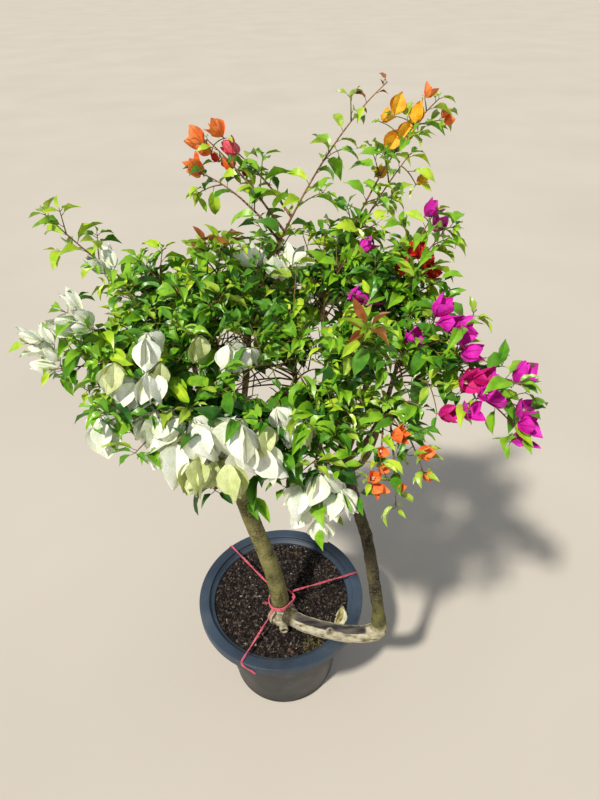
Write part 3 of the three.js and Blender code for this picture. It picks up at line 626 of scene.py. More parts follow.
class Shader:
    """A material under construction: its tree and its one glossy surface."""

    def __init__(self, name, roughness, specular):
        self.material = bpy.data.materials.new(name)
        self.material.use_nodes = True
        self.tree = self.material.node_tree
        self.surface = self.tree.nodes["Principled BSDF"]
        self.feed(self.surface, Roughness=roughness, Specular_IOR_Level=specular)
        self.place = self.node("ShaderNodeTexCoord").outputs["Object"]

    def node(self, kind, **settings):
        made = self.tree.nodes.new(kind)
        for key, value in settings.items():
            setattr(made, key, value)
        return made

    def feed(self, node, **values):
        """Sets or links a node's inputs by their names."""
        for key, value in values.items():
            self.fill(node.inputs[key.replace("_", " ")], value)

    def fill(self, socket, value):
        """Links a socket to another one, or sets it to a number or a colour."""
        if isinstance(value, bpy.types.NodeSocket):
            self.tree.links.new(value, socket)
        else:
            socket.default_value = linear(value) if socket.type == "RGBA" else value

    def noise(self, scale, detail, stretch=(1, 1, 1), distortion=0):
        """Cloudy noise over the surface. The scale is in patches for each metre."""
        mapping = self.node("ShaderNodeMapping")
        self.feed(mapping, Scale=stretch, Vector=self.place)
        texture = self.node("ShaderNodeTexNoise")
        self.feed(texture, Scale=scale, Detail=detail, Distortion=distortion)
        self.feed(texture, Vector=mapping.outputs["Vector"])
        return texture.outputs["Fac"]

    def ramp(self, factor, *stops):
        """Colours by a number: each stop is its place and its colour or grey level."""
        made = self.node("ShaderNodeValToRGB")
        elements = made.color_ramp.elements
        while len(elements) < len(stops):
            elements.new(0.5)
        for element, (position, colour) in zip(elements, stops):
            element.position = position
            element.color = linear(colour)
        self.feed(made, Fac=factor)
        return made.outputs["Color"]

    def clouds(self, scale, detail, *stops, stretch=(1, 1, 1)):
        """Colours or a mask in soft patches."""
        return self.ramp(self.noise(scale, detail, stretch), *stops)

    def mix(self, factor, first, second, blend="MIX"):
        made = self.node("ShaderNodeMix", data_type="RGBA", blend_type=blend)
        for number, value in ((0, factor), (6, first), (7, second)):
            self.fill(made.inputs[number], value)
        return made.outputs[2]

    def tint(self, where, colour, strength, second):
        """The colour with a thin coat of a second one where a mask says."""
        return self.mix(where, colour, self.mix(strength, colour, second))

    def spread(self, factor, **limits):
        """A number spread anew from one range to another."""
        made = self.node("ShaderNodeMapRange")
        self.feed(made, Value=factor, **limits)
        return made.outputs["Result"]

    def mask(self, name):
        return self.node("ShaderNodeAttribute", attribute_name=name).outputs["Fac"]

    def finish(self, colour, height=None, depth=0.001, strength=0.5):
        """The material with its colour and with the relief of a height."""
        self.feed(self.surface, Base_Color=colour)
        if height:
            bump = self.node("ShaderNodeBump")
            self.feed(bump, Strength=strength, Distance=depth, Height=height)
            self.feed(self.surface, Normal=bump.outputs["Normal"])
        return self.material


def blade_material(name, light, dark, roughness, specular=0.5, grain=60, relief=0.35, vein=None):
    """A leaf's or a bract's skin: one base colour with faint clouding and a fine skin relief, and on a
    bract a net of veins."""
    shader = Shader(name, roughness, specular)
    colour = shader.clouds(grain, 3, (0.36, dark), (0.62, light)) if light != dark else light
    if vein:
        cells = shader.node("ShaderNodeTexVoronoi", feature="DISTANCE_TO_EDGE")
        shader.feed(cells, Scale=VEIN_CELLS, Vector=shader.place)
        net = shader.ramp(cells.outputs["Distance"], (0, VEIN_STRENGTH), (VEIN_WIDTH, 0))
        colour = shader.mix(net, colour, vein)
    return shader.finish(colour, shader.noise(360, 3), 0.0008, relief)


def bark_material(name, light, mid, dark):
    """Streaked and mottled bark, with pale callus, moss and bare wood where its mesh says."""
    shader = Shader(name, 0.82, 0.3)
    streaks = shader.noise(70, 5, (1, 1, 0.28), 0.6)
    patches = shader.noise(22, 3)
    colour = shader.ramp(streaks, (0.28, dark), (0.5, mid), (0.74, light))
    mottle = shader.clouds(250, 4, (0.42, (138, 134, 112)), (0.6, (255, 255, 255)))
    colour = shader.mix(1.0, colour, mottle, "MULTIPLY")
    colour = shader.tint(shader.ramp(patches, (0.42, 0), (0.62, 1)), colour, 0.45, light)
    colour = shader.tint(shader.clouds(240, 2, *SPECKS), colour, 0.2, (206, 198, 160))
    callus = shader.clouds(110, 4, (0.34, (104, 94, 72)), (0.47, (184, 174, 144)), (0.75, (226, 220, 198)),
                           stretch=(0.4, 1, 1))
    moss = shader.ramp(patches, (0.35, (112, 110, 58)), (0.65, (146, 142, 84)))
    wood = shader.clouds(90, 4, (0.34, (46, 42, 40)), (0.62, (104, 96, 91)), stretch=(0.25, 1, 1))
    for mask, skin in (("pale", callus), ("moss", moss), ("wound", wood)):
        colour = shader.mix(shader.mask(mask), colour, skin)
    return shader.finish(colour, streaks, 0.0018, 0.6)


def pot_material():
    """Worn plastic: a black body under a lip coloured lighter blue-grey as a painted sky reflection and
    sheen, with a film of mud and grains of dust.
    """
    shader = Shader("pot_plastic", 0.42, 0.5)
    axes = shader.node("ShaderNodeSeparateXYZ")
    shader.feed(axes, Vector=shader.place)
    body = shader.clouds(14, 3, (0.35, (28, 30, 34)), (0.7, (42, 44, 48)))
    # The lip's lighter blue-grey is a painted reflection of the sky and a painted sheen on its top.
    lip = shader.clouds(10, 3, (0.35, (44, 57, 72)), (0.7, (66, 82, 100)))
    low, high = (level * MM for level in LIP_REFLECTION_FADE)
    colour = shader.mix(shader.spread(axes.outputs["Z"], From_Min=low, From_Max=high), body, lip)
    colour = shader.mix(shader.clouds(9, 4, (0.5, 0), (0.8, 0.45)), colour, (104, 102, 98))
    colour = shader.tint(shader.clouds(340, 2, *SPECKS), colour, 0.35, (150, 144, 132))
    wear = shader.spread(shader.noise(24, 4), To_Min=0.36, To_Max=0.58)
    shader.feed(shader.surface, Roughness=wear)
    return shader.finish(colour, shader.noise(180, 2), 0.0005, 0.25)


def soil_material(name, light, dark):
    shader = Shader(name, 0.95, 0.2)
    colour = shader.clouds(150, 4, (0.35, dark), (0.65, light))
    return shader.finish(colour, shader.noise(300, 3), 0.002, 0.8)


# Pot
def rounded(profile, radius):
    """A profile with each of its inner corners turned into a small curve."""
    points = [np.asarray(p, float) for p in profile]
    made = [points[0]]
    for before, corner, after in zip(points, points[1:], points[2:]):
        cut = min(radius, distance(corner, before) / 2.2, distance(after, corner) / 2.2)
        start = corner + unit(before - corner) * cut
        end = corner + unit(after - corner) * cut
        for t in (0, 0.33, 0.67, 1):
            made.append((1 - t) ** 2 * start + 2 * t * (1 - t) * corner + t**2 * end)
    return np.array([*made, points[-1]])


def turned(heap, profile, sides, wobble=0):
    """A profile of radius and height turned about the upright axis."""
    around = np.stack([*polar(1, circle(sides)), np.zeros(sides)], 1)
    points = profile[:, 0, None, None] * around[None] + profile[:, 1, None, None] * UP
    if wobble:
        points[..., 2] += wobble * noise(points / 60) * (profile[:, 1, None] > POT_FLOOR + 1)
    heap.add(points, grid_faces(len(profile), sides))


def wall_radius(height):
    """The pot's outside below its neck."""
    return POT_BASE_RADIUS + (POT_NECK_RADIUS - POT_BASE_RADIUS) * height / POT_NECK_HEIGHT


def make_pot():
    lip_inside = POT_MOUTH_RADIUS + POT_WALL
    skirt_inside = POT_RIM_RADIUS - POT_WALL
    skirt_end = POT_HEIGHT - POT_SKIRT
    outside = [
        (0.01, 0), (POT_BASE_RADIUS - 2, 0), (POT_BASE_RADIUS, 2),
        (wall_radius(POT_FOOT_HEIGHT) + POT_FOOT_EXTRA, POT_FOOT_HEIGHT),
        *((wall_radius(z), z) for z in WALL_ROWS),
        (POT_NECK_RADIUS, POT_NECK_HEIGHT), (lip_inside, POT_NECK_HEIGHT + 4),
    ]
    lip = [
        (lip_inside, POT_HEIGHT - POT_WALL), (skirt_inside, POT_HEIGHT - POT_WALL),
        (skirt_inside, skirt_end), (POT_RIM_RADIUS, skirt_end),
        (POT_RIM_RADIUS, POT_HEIGHT), (POT_MOUTH_RADIUS, POT_HEIGHT),
    ]
    inside = [
        (POT_MOUTH_RADIUS, POT_HEIGHT - 6), (POT_MOUTH_RADIUS - 3.2, POT_HEIGHT - 6.4),
        (POT_MOUTH_RADIUS - 3.4, POT_NECK_HEIGHT + 5),
        (wall_radius(POT_NECK_HEIGHT) - POT_WALL, POT_NECK_HEIGHT + 2),
        (wall_radius(POT_FLOOR) - POT_WALL, POT_FLOOR), (0.01, POT_FLOOR),
    ]
    heap = Heap()
    turned(heap, rounded(outside + lip + inside, 1.6), 144, 0.5)
    place("pot_moulded", heap, [pot_material()], "pot_plastic", "pot")


# Soil
def soil_height(x, y):
    """The soil's surface: a low mound with a rough top."""
    edge = share(np.hypot(x, y) - SOIL_PLATEAU, SOIL_RADIUS - SOIL_PLATEAU)
    base = SOIL_LEVEL + (SOIL_EDGE_LEVEL - SOIL_LEVEL) * edge
    spots = np.stack([x / 16, y / 16, np.zeros_like(x)], -1)
    return base - 1 + 1.6 * rough(spots)


def make_soil():
    rings, sides = 70, 150
    rim = SOIL_RADIUS + 0.2
    x, y = polar(*np.meshgrid(np.linspace(0.2, rim, rings), circle(sides), indexing="ij"))
    heap = Heap()
    heap.add(np.stack([x, y, soil_height(x, y)], -1), grid_faces(rings, sides))
    bottom = POT_FLOOR + 0.4
    turned(heap, np.array([(rim, SOIL_EDGE_LEVEL - 3), (SOIL_FOOT_RADIUS, bottom), (0.01, bottom)]), sides)
    place("soil_surface", heap, [soil_material("soil", (46, 39, 36), (20, 17, 16))], "soil", "soil")


def make_grains():
    """Loose grains on the soil: small eight-faced chips, each stretched along its own axis."""
    random = np.random.RandomState(5)
    out = (SOIL_RADIUS - 0.5) * np.sqrt(random.rand(GRAIN_COUNT))
    x, y = polar(out, 2 * math.pi * random.rand(GRAIN_COUNT))
    size = GRAIN_LEAST + GRAIN_RANGE * random.rand(GRAIN_COUNT) ** 1.7
    axes = unit(random.normal(size=(GRAIN_COUNT, 3)) * [1, 1, 0.6])
    side = unit(np.cross(axes, unit(random.normal(size=(GRAIN_COUNT, 3)))))
    centre = np.stack([x, y, soil_height(x, y) + 0.35 * size], -1)
    stretch = size * (1.1 + random.rand(GRAIN_COUNT))
    reaches = [axes * stretch[:, None], side * size[:, None], np.cross(axes, side) * size[:, None] * 0.7]
    corners = [centre + way * reach for reach in reaches for way in (1, -1)]
    template = [(0, 2, 4), (2, 1, 4), (1, 3, 4), (3, 0, 4), (2, 0, 5), (1, 2, 5), (3, 1, 5), (0, 3, 5)]
    kind = np.digitize(random.rand(GRAIN_COUNT), [limit for *_, limit in GRAINS[:-1]])
    in_patch = np.hypot(x - MOSS_PATCH[0], y - MOSS_PATCH[1]) < MOSS_PATCH[2]
    kind = np.where(in_patch & (random.rand(GRAIN_COUNT) < MOSS_SHARE), len(GRAINS) - 1, kind)
    heap = Heap()
    heap.add(np.stack(corners, 1), copies(template, 6, GRAIN_COUNT), np.repeat(kind, len(template)))
    skins = [soil_material(f"grain_{name}", light, dark) for name, light, dark, _ in GRAINS]
    place("soil_grains", heap.mesh("soil_grains", smooth=False), skins, "soil")


# Limbs
trunk_path = spline(TRUNK_AXIS)
side_path = spline(SIDE_AXIS)
trunk_radius = taper(TRUNK_FOOT_RADIUS, TRUNK_FORK_RADIUS)
bough_radius = taper(BOUGH_ROOT_RADIUS, BOUGH_TIP_RADIUS)


def flare_radius(along):
    return TRUNK_FOOT_RADIUS - 0.5 + FLARE_EXTRA * (1 - along) ** 2


def side_radius(along):
    """Thick along its low run, it thins quickly past the bend."""
    return np.interp(along, SIDE_MARKS, SIDE_RADII)


def on_side_stem(along, way):
    """The place on the side stem's skin that faces a way."""
    return side_path.at(along) + unit(way) * side_radius(along)


def host_at(host, height):
    """The middle of the trunk, or of the side stem's upright half, at a height."""
    path = trunk_path if host == "trunk" else side_path
    points = path.points if host == "trunk" else path.points[len(path.points) // 2:]
    return np.array([np.interp(height, points[:, 2], points[:, k]) for k in range(3)])


def bough_path(name):
    """A bough leaves its host nearly level and turns upwards to its tip."""
    mass = CROWN[name]
    root, tip = host_at(mass.host, mass.height), np.asarray(mass.tip, float)
    control = np.append(root[:2] + (tip[:2] - root[:2]) * 0.75, root[2] + (tip[2] - root[2]) * 0.4)
    return bend(root, control, tip)


def with_masks(mesh, **masks):
    """Marks a mesh's points from 0 to 1 for its material; points past the end of a row stay at 0."""
    for name, values in masks.items():
        attribute = mesh.attributes.new(name, "FLOAT", "POINT")
        values = np.append(values, np.zeros(len(mesh.vertices) - np.size(values)))
        attribute.data.foreach_set("value", np.clip(values, 0, 1).astype(np.float32))


def vertex_rows(mesh, field):
    rows = np.empty(len(mesh.vertices) * 3, np.float32)
    mesh.vertices.foreach_get(field, rows)
    return rows.reshape(-1, 3).astype(float)


def grown_together(heap, name, voxel):
    """The heap's closed shapes run together into one skin."""
    lump = stand(name, heap.mesh(name))
    remesh = lump.modifiers.new("skin", "REMESH")
    remesh.mode = "VOXEL"
    remesh.voxel_size = voxel * MM
    smooth = lump.modifiers.new("ease", "SMOOTH")
    smooth.factor = 0.5
    smooth.iterations = 4
    graph = bpy.context.evaluated_depsgraph_get()
    mesh = bpy.data.meshes.new_from_object(lump.evaluated_get(graph))
    bpy.data.objects.remove(lump)
    mesh.polygons.foreach_set("use_smooth", np.ones(len(mesh.polygons), bool))
    return mesh


def knob(heap, centre, radius, squash):
    """A rounded lump."""
    rows, sides = 9, 14
    tilt = np.linspace(-math.pi / 2, math.pi / 2, rows)
    across, along = polar(1, circle(sides))
    height = np.outer(np.sin(tilt) * squash, np.ones(sides))
    points = np.stack([np.outer(np.cos(tilt), across), np.outer(np.cos(tilt), along), height], -1)
    heap.add(np.asarray(centre) + radius * points, grid_faces(rows, sides))


def make_trunk(bark):
    """The trunk grown together with its flare, the lumps of its burl and its sawn stub."""
    foot = np.array(TRUNK_AXIS[0])
    heap = Heap()
    limb(heap, trunk_path, trunk_radius, 28, 60)
    flare_end = trunk_path.at(FLARE_HEIGHT / trunk_path.length)
    limb(heap, straight(foot, flare_end), flare_radius, 28, 8)
    for i in range(BURL_LUMPS):
        angle = BURL_START + i * BURL_TURN
        along, across = BURL_REACH
        centre = foot + [along * math.cos(angle), across * math.sin(angle), 4 + 3 * (i % 3)]
        knob(heap, centre, BURL_RADIUS * (1 - 0.12 * (i % 2)), 0.9)
    for *centre, radius in FOOT_LUMPS:
        knob(heap, centre, radius, 0.8)
    stub_end = foot + STUB_REACH
    limb(heap, straight(foot + [0, 0, 8], stub_end), even(STUB_RADIUS), 20, 8)

    mesh = grown_together(heap, "trunk_bark", BARK_VOXEL)
    points, normals = vertex_rows(mesh, "co") / MM, vertex_rows(mesh, "normal")
    low = share(BURL_TOP - points[:, 2], 26)
    gnarled = hump(distance(points, foot + [2, -26, 12]), 24)
    scars = np.maximum(0, noise(points / [60, 60, 11]) - 0.45)
    lumps = (low * 1.3 + gnarled * 1.8) * rough(points / 9, 2)
    shift = 0.5 * rough(points / [5, 5, 17]) + lumps + 1.6 * scars
    cut = distance(points, stub_end)
    ring = hump(cut - 7, 1.6) - 1.2 * hump(cut - 3.2, 2.4)
    shift += np.where((cut < 14) & (normals[:, 1] < -0.4), 1.1 * ring, 0)
    points += normals * shift[:, None]
    points[:, 2] = np.maximum(points[:, 2], SOIL_LEVEL - 1.5)
    mesh.vertices.foreach_set("co", (points * MM).astype(np.float32).ravel())
    pale = np.clip((CALLUS_TOP - points[:, 2]) / 14 + 0.35 * rough(points / 7, 2), 0, 1) * 0.9
    moss = np.clip(0.35 * rough(points / 30, 2) + 0.1, 0, 0.5)
    with_masks(mesh, pale=pale, wound=(cut < 4.5) & (normals[:, 1] < -0.3), moss=moss)
    mesh.update()
    place("trunk_bark", mesh, [bark], "bark", "trunk")


def make_side_stem(bark):
    """The side stem, with bare wood along the top of its low run, lips of callus, a cut knot and bumps."""
    rows, sides = 330, 60
    along, centres, outward, tangents = rings_along(side_path, rows, sides)
    along = along[:, None]
    radii = side_radius(along)
    spots = centres[:, None] + outward * radii[..., None]
    upright = along > UPRIGHT_FROM
    begun = share(along - RUN_START, 0.02)
    low_run = begun * share(RUN_END - along, 0.012)
    lean = outward[..., 2]
    edge = 0.05 * rough(spots / 12, 2)
    strip = low_run * share(lean + edge - BARE_FROM, 0.05)
    flat = np.where(strip > 0, radii * 0.82 / np.maximum(lean, 0.3), radii)
    radii = radii * (1 - strip) + np.minimum(flat, radii) * strip
    lips = low_run * hump(lean + edge - LIP_AT, 0.06)
    radii = radii + 1.1 * lips * (1 + 0.5 * noise(spots / 9)) - 0.4
    streaks = rough(spots / np.where(upright[..., None], [6, 6, 18], [15, 6, 6]))
    radii = radii + (0.75 + 0.45 * upright) * streaks * (1 - 0.5 * strip)
    radii = radii + 2.2 * hump(along - BEND_AT, 0.035) * rough(spots / 9, 2)
    for at, width, height, way in SIDE_BUMPS:
        radii = radii + height * hump(distance(spots, on_side_stem(at, way)), width)
    points = (centres[:, None] + outward * radii[..., None]).reshape(-1, 3)
    heap = Heap()
    heap.add(np.vstack([points, centres[:1], centres[-1:] + tangents[-1:] * 3]), tube_faces(rows, sides))
    mesh = heap.mesh("side_stem_bark")

    callus = begun * share(0.36 + 0.05 * noise(spots / [9, 9, 30]) - along, 0.025)
    pale = np.clip(callus * (1 - strip) * (0.95 + 0.3 * noise(spots / 12)), 0, 1)
    from_knot = distance(spots, on_side_stem(KNOT_AT, KNOT_WAY))
    knot_ring = np.where(from_knot < KNOT_CORE, 0, 0.55 + 0.5 * noise(spots / 4))
    damp = hump(along - 0.39, 0.07) * (0.6 + 0.5 * noise(spots / 10))
    with_masks(
        mesh,
        wound=np.maximum(strip * (from_knot > KNOT_RADIUS), from_knot < KNOT_CORE),
        pale=np.where(from_knot < KNOT_RADIUS, knot_ring, pale),
        moss=damp + 0.25 * upright * rough(spots / 25, 2),
    )
    place("side_stem_bark", mesh, [bark], "bark", "side_stem_low", "side_stem_high")


def make_boughs(bark):
    heap = Heap()
    for name in CROWN:
        limb(heap, bough_path(name), bough_radius, 12, 40, 0, 0.5)
    place("boughs_bark", heap, [bark], "green_bark", *(f"bough_{name}" for name in CROWN))


# Leaves and bracts
def columns_of(rows):
    """The columns of a list of rows, each as an array."""
    return [np.array(column) for column in zip(*rows)]


def bent_midline(base, direction, normal, length, turn, rows):
    """Points down the middle of blades that bend back by an angle, and the normals there."""
    angle = np.maximum(turn, 1e-3)[:, None] * rows
    run = (length / np.maximum(turn, 1e-3))[:, None]
    middle = (base[:, None] + direction[:, None] * (np.sin(angle) * run)[..., None]
              - normal[:, None] * ((1 - np.cos(angle)) * run)[..., None])
    raised = normal[:, None] * np.cos(angle)[..., None] + direction[:, None] * np.sin(angle)[..., None]
    return middle, raised


def leaf_blades(heap, leaves):
    """Leaves with a keeled midrib: two halves that meet in a crease and droop to a long point. Each leaf
    is its base, direction, normal, length, turn, fold and seed."""
    base, direction, normal, length, turn, fold, seed = columns_of(leaves)
    middle, raised = bent_midline(base, direction, normal, length, turn, LEAF_ROWS)
    side = np.cross(direction, normal)
    half = LEAF_HALF * LEAF_SLIMNESS / 2 * length[:, None]
    wave = 0.07 * length[:, None] * np.sin(9 * LEAF_ROWS[None] + 6 * seed[:, None])
    points = []
    for way in (-1, 1):
        lift = half * np.sin(fold)[:, None] + way * wave * LEAF_HALF
        out = way * half * np.cos(fold)[:, None]
        edge = middle + side[:, None] * out[..., None] + raised * lift[..., None]
        points += [middle, edge] if way > 0 else [edge, middle]
    rows, columns = len(LEAF_ROWS), len(points)
    template = []
    for row, a in product(range(rows - 1), (0, 2)):
        a += row * columns
        template.append((a, a + 1, a + 1 + columns))
        if row < rows - 2:
            template.append((a, a + 1 + columns, a + columns))
    heap.add(np.stack(points, 2), copies(template, rows * columns, len(leaves)))


def bract_blades(heap, bracts, marked=(2,)):
    """Papery bracts: broad, cupped and crumpled. Each is its base, direction, normal, length, turn, cup,
    seed and breadth. Marked strips down the blade take the second skin."""
    base, direction, normal, length, turn, cup, seed, breadth = columns_of(bracts)
    middle, raised = bent_midline(base, direction, normal, length, turn, BRACT_ROWS)
    side = np.cross(direction, normal)
    half = BRACT_HALF * (breadth * length)[:, None]
    across = half[..., None] * BRACT_COLUMNS
    spots = np.stack(np.broadcast_arrays(
        BRACT_ROWS[None, :, None] * 2.6, BRACT_COLUMNS[None, None] * 1.4, seed[:, None, None] * 97), -1)
    crumple = 0.075 * length[:, None, None] * rough(spots, 2) * (0.25 + 0.75 * np.abs(BRACT_COLUMNS))
    sink = -cup[:, None, None] * np.abs(BRACT_COLUMNS) ** 2 * half[..., None]
    points = (middle[:, :, None] + side[:, None, None] * across[..., None]
              + raised[:, :, None] * (sink + crumple)[..., None])
    rows, columns = len(BRACT_ROWS), len(BRACT_COLUMNS)
    faces = copies(grid_faces(rows, columns, closed=False), rows * columns, len(bracts))
    strip = np.tile(np.arange(columns - 1), 2 * (rows - 1) * len(bracts))
    heap.add(points, faces, np.isin(strip, marked))


# Crown
class Crown:
    """The growing foliage: what is already there, and what it has to keep clear of."""

    def __init__(self):
        self.leaves = {kind: [] for kind in LEAF_SKINS}
        self.petioles = []
        self.wood, self.green = Heap(), Heap()
        self.taken = {}
        self.skeleton = {}
        limbs = [(trunk_path, trunk_radius, 60), (side_path, side_radius, 110)]
        limbs += [(bough_path(name), bough_radius, 24) for name in CROWN]
        balls = np.array([(*path.at(along), radius(along)) for path, radius, count in limbs
                          for along in np.linspace(0, 1, count)])
        self.limb_centres, self.limb_radii = balls[:, :3], balls[:, 3]
        self.gap_places = np.array([(x, GAP_PLANE, z) for x, z, _ in GAPS], float)
        self.gap_ways = unit(self.gap_places - CAMERA_AT)
        self.gap_radii = np.array([radius for *_, radius in GAPS], float)
        heads = np.array([(*head[:3], 0.5 * size) for _, _, size, _, heads in BLOSSOM for head in heads])
        self.head_places, self.head_rooms = heads[:, :3], heads[:, 3]
        self.boxes = {}
        for name in CROWN:
            low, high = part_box(f"foliage_{name}")
            self.boxes[name] = (np.array(low) / MM - SPACE_SLACK, np.array(high) / MM + SPACE_SLACK)

    def in_space(self, name, points):
        low, high = self.boxes[name]
        return bool(np.all(points > low) and np.all(points < high))

    def clear_of_limbs(self, points):
        gaps = distance(points[:, None], self.limb_centres[None]) - self.limb_radii
        return bool(np.all(gaps > LIMB_CLEARANCE))

    def uncrowded(self, point, spacing):
        """Whether no leaf is near; the point is then taken."""
        cell = tuple(np.floor(point / spacing).astype(int))
        for step in product((-1, 0, 1), repeat=3):
            for other in self.taken.get(tuple(np.add(cell, step)), ()):
                if distance(other, point) < spacing:
                    return False
        self.taken.setdefault(cell, []).append(point)
        return True

    def in_gap(self, points):
        """Whether any of the points lies in one of the gaps."""
        away = points[:, None] - self.gap_places
        away = away - np.sum(away * self.gap_ways, -1)[..., None] * self.gap_ways
        return np.any(np.linalg.norm(away, axis=-1) < self.gap_radii)

    def leaf(self, name, root, tangent, turn, size, kind, random, droop=1.0, star=False, hem=0):
        """One leaf on its stalk, unless it would leave its mass's space, touch a limb, a flower or another
        leaf, hang too low or close a gap. A star's leaves are narrow, and close together."""
        size = size * BIG_LEAVES.get(name, 1)
        outward = square_to(tangent, turn)
        outward = unit(outward * [1, 1, 0.35] + UP * 0.12)
        stalk = unit(outward * 0.8 + tangent * 0.55 + UP * 0.15)
        length = LEAF_LENGTH * size * (0.82 + 0.34 * next(random))
        base = root + stalk * PETIOLE * (0.6 + 0.5 * size)
        direction = unit(outward * 0.85 + tangent * 0.4 + UP * (0.3 - 0.55 * next(random)))
        normal = facing(direction, UP + 0.25 * outward + 0.5 * square_to(tangent, turn + 2))
        turn_back = (0.7 + 0.9 * next(random)) * droop
        fold = 0.35 + 0.5 * next(random) + (0.4 if star else 0)
        middle, _ = bent_midline(base[None], direction[None], normal[None], np.array([length]),
                                 np.array([turn_back]), np.array([0.5, 1.0]))
        middle = middle[0]
        if not ((star or self.in_space(name, middle)) and self.clear_of_limbs(middle)):
            return
        if np.any(distance(middle[:, None], self.head_places) < self.head_rooms):
            return
        if middle[1][2] < max(hem, LOWEST_LEAF) or self.in_gap(middle):
            return
        if not star and not self.uncrowded(middle[0], LEAF_SPACING * (0.5 + 0.5 * size)):
            return
        self.leaves[kind].append((base, direction, normal, length, turn_back, fold, next(random)))
        self.petioles.append((root, base))


def zigzag(path, phase):
    """A shoot's path with a slight kink at each of its joints."""
    count = max(3, round(path.length / NODE_STEP))
    points = []
    for k in range(count + 1):
        along = k / count
        kink = NODE_KINK * math.sin(math.pi * min(1, 3 * along)) if k < count else 0
        points.append(path.at(along) + square_to(path.tangent(along), phase + k * GOLDEN) * kink)
    return Path(points)


def painted_light_tone_of(name, along, point, random):
    """The leaf colour that a spray is dealt: lighter outside and above as painted light, deeper inside and
    below as painted shade.
    """
    mass = CROWN[name]
    out = distance(point, mass.centre) / mass.reach
    height = (point[2] - CROWN_FOOT) / CROWN_HEIGHT
    value = 0.26 * min(out, 1.6) + 0.08 * height + 0.16 * along + 0.7 * next(random) - 0.14
    # Low front masses are pushed to deeper greens, a painted shade under the crown.
    value -= BIG_LEAF_PAINTED_SHADE if name in BIG_LEAVES else 0
    return next(kind for limit, kind in PAINTED_LIGHT_TONES if value < limit)


def dress(crown, name, path, start, phase, size, ending, random, hem=0):
    """Leaves along a twig, alternate, smaller towards a tuft at its tip, and none lower than the hem."""
    count = max(1, round(path.length * (1 - start) / LEAF_STEP))
    # The spray's green comes by place: deeper inside and below as painted shade, lighter outside and above
    # as painted light.
    tone = painted_light_tone_of(name, 0.5, path.at(1.0), random)
    for i in range(count + 1):
        along = start + (1 - start) * i / (count + 0.4)
        kind = tone if next(random) < 0.7 else painted_light_tone_of(name, along, path.at(along), random)
        if ending == "young" and along > 0.72:
            kind = "young" if next(random) < 0.75 else "fresh"
        if ending == "bronze" and along > 0.62:
            kind = "bronze" if along > 0.84 else "young"
        length = size * (1 - 0.36 * along) * (0.55 if kind == "bronze" else 1)
        root, tangent = path.at(along), path.tangent(along)
        crown.leaf(name, root, tangent, phase + i * GOLDEN, length, kind, random, hem=hem)
    ahead = path.tangent(1.0)
    if ending == "star":
        for i in range(STAR_LEAVES):
            kind = "bronze" if i % STAR_TINTS[name] == 0 else "young"
            root = path.at(1 - 0.012 * i)
            crown.leaf(name, root, ahead, phase + i * GOLDEN, 0.58, kind, random, 0.45, True)
    tuft = ending if ending in ("young", "bronze") else tone
    for i in range(3):
        crown.leaf(name, path.at(0.995), ahead, phase + i * 2.1, size * 0.42, tuft, random, 0.5)


def shoots_of(name, stem, seed):
    """The curves of a mass's shoots, the long ones first, then a fan of short ones, each with its ending."""
    mass = CROWN[name]
    count = len(mass.long_shoots) + mass.fan
    starts = [stem.at(0.985 - 0.8 * k / count) for k in range(count)]
    shoots = []
    for start, (x, y, z, lift, ending, *fork) in zip(starts, mass.long_shoots):
        if fork:
            start = shoots[0][0].at(fork[0])
        shoots.append((arch(start, (x, y, z), lift), ending, True))
    random = seeded(seed)
    for i, start in enumerate(starts[len(mass.long_shoots):]):
        rise = 1 - 1.55 * (i + 0.5) / mass.fan
        way = np.array([*polar(math.sqrt(1 - rise * rise), i * GOLDEN + seed), rise])
        tip = np.array(mass.centre) + way * (mass.reach * (0.9 + 0.2 * next(random)))
        shoots.append((arch(start, tip, 10), "young" if i % 4 == 1 else "green", False))
    return shoots


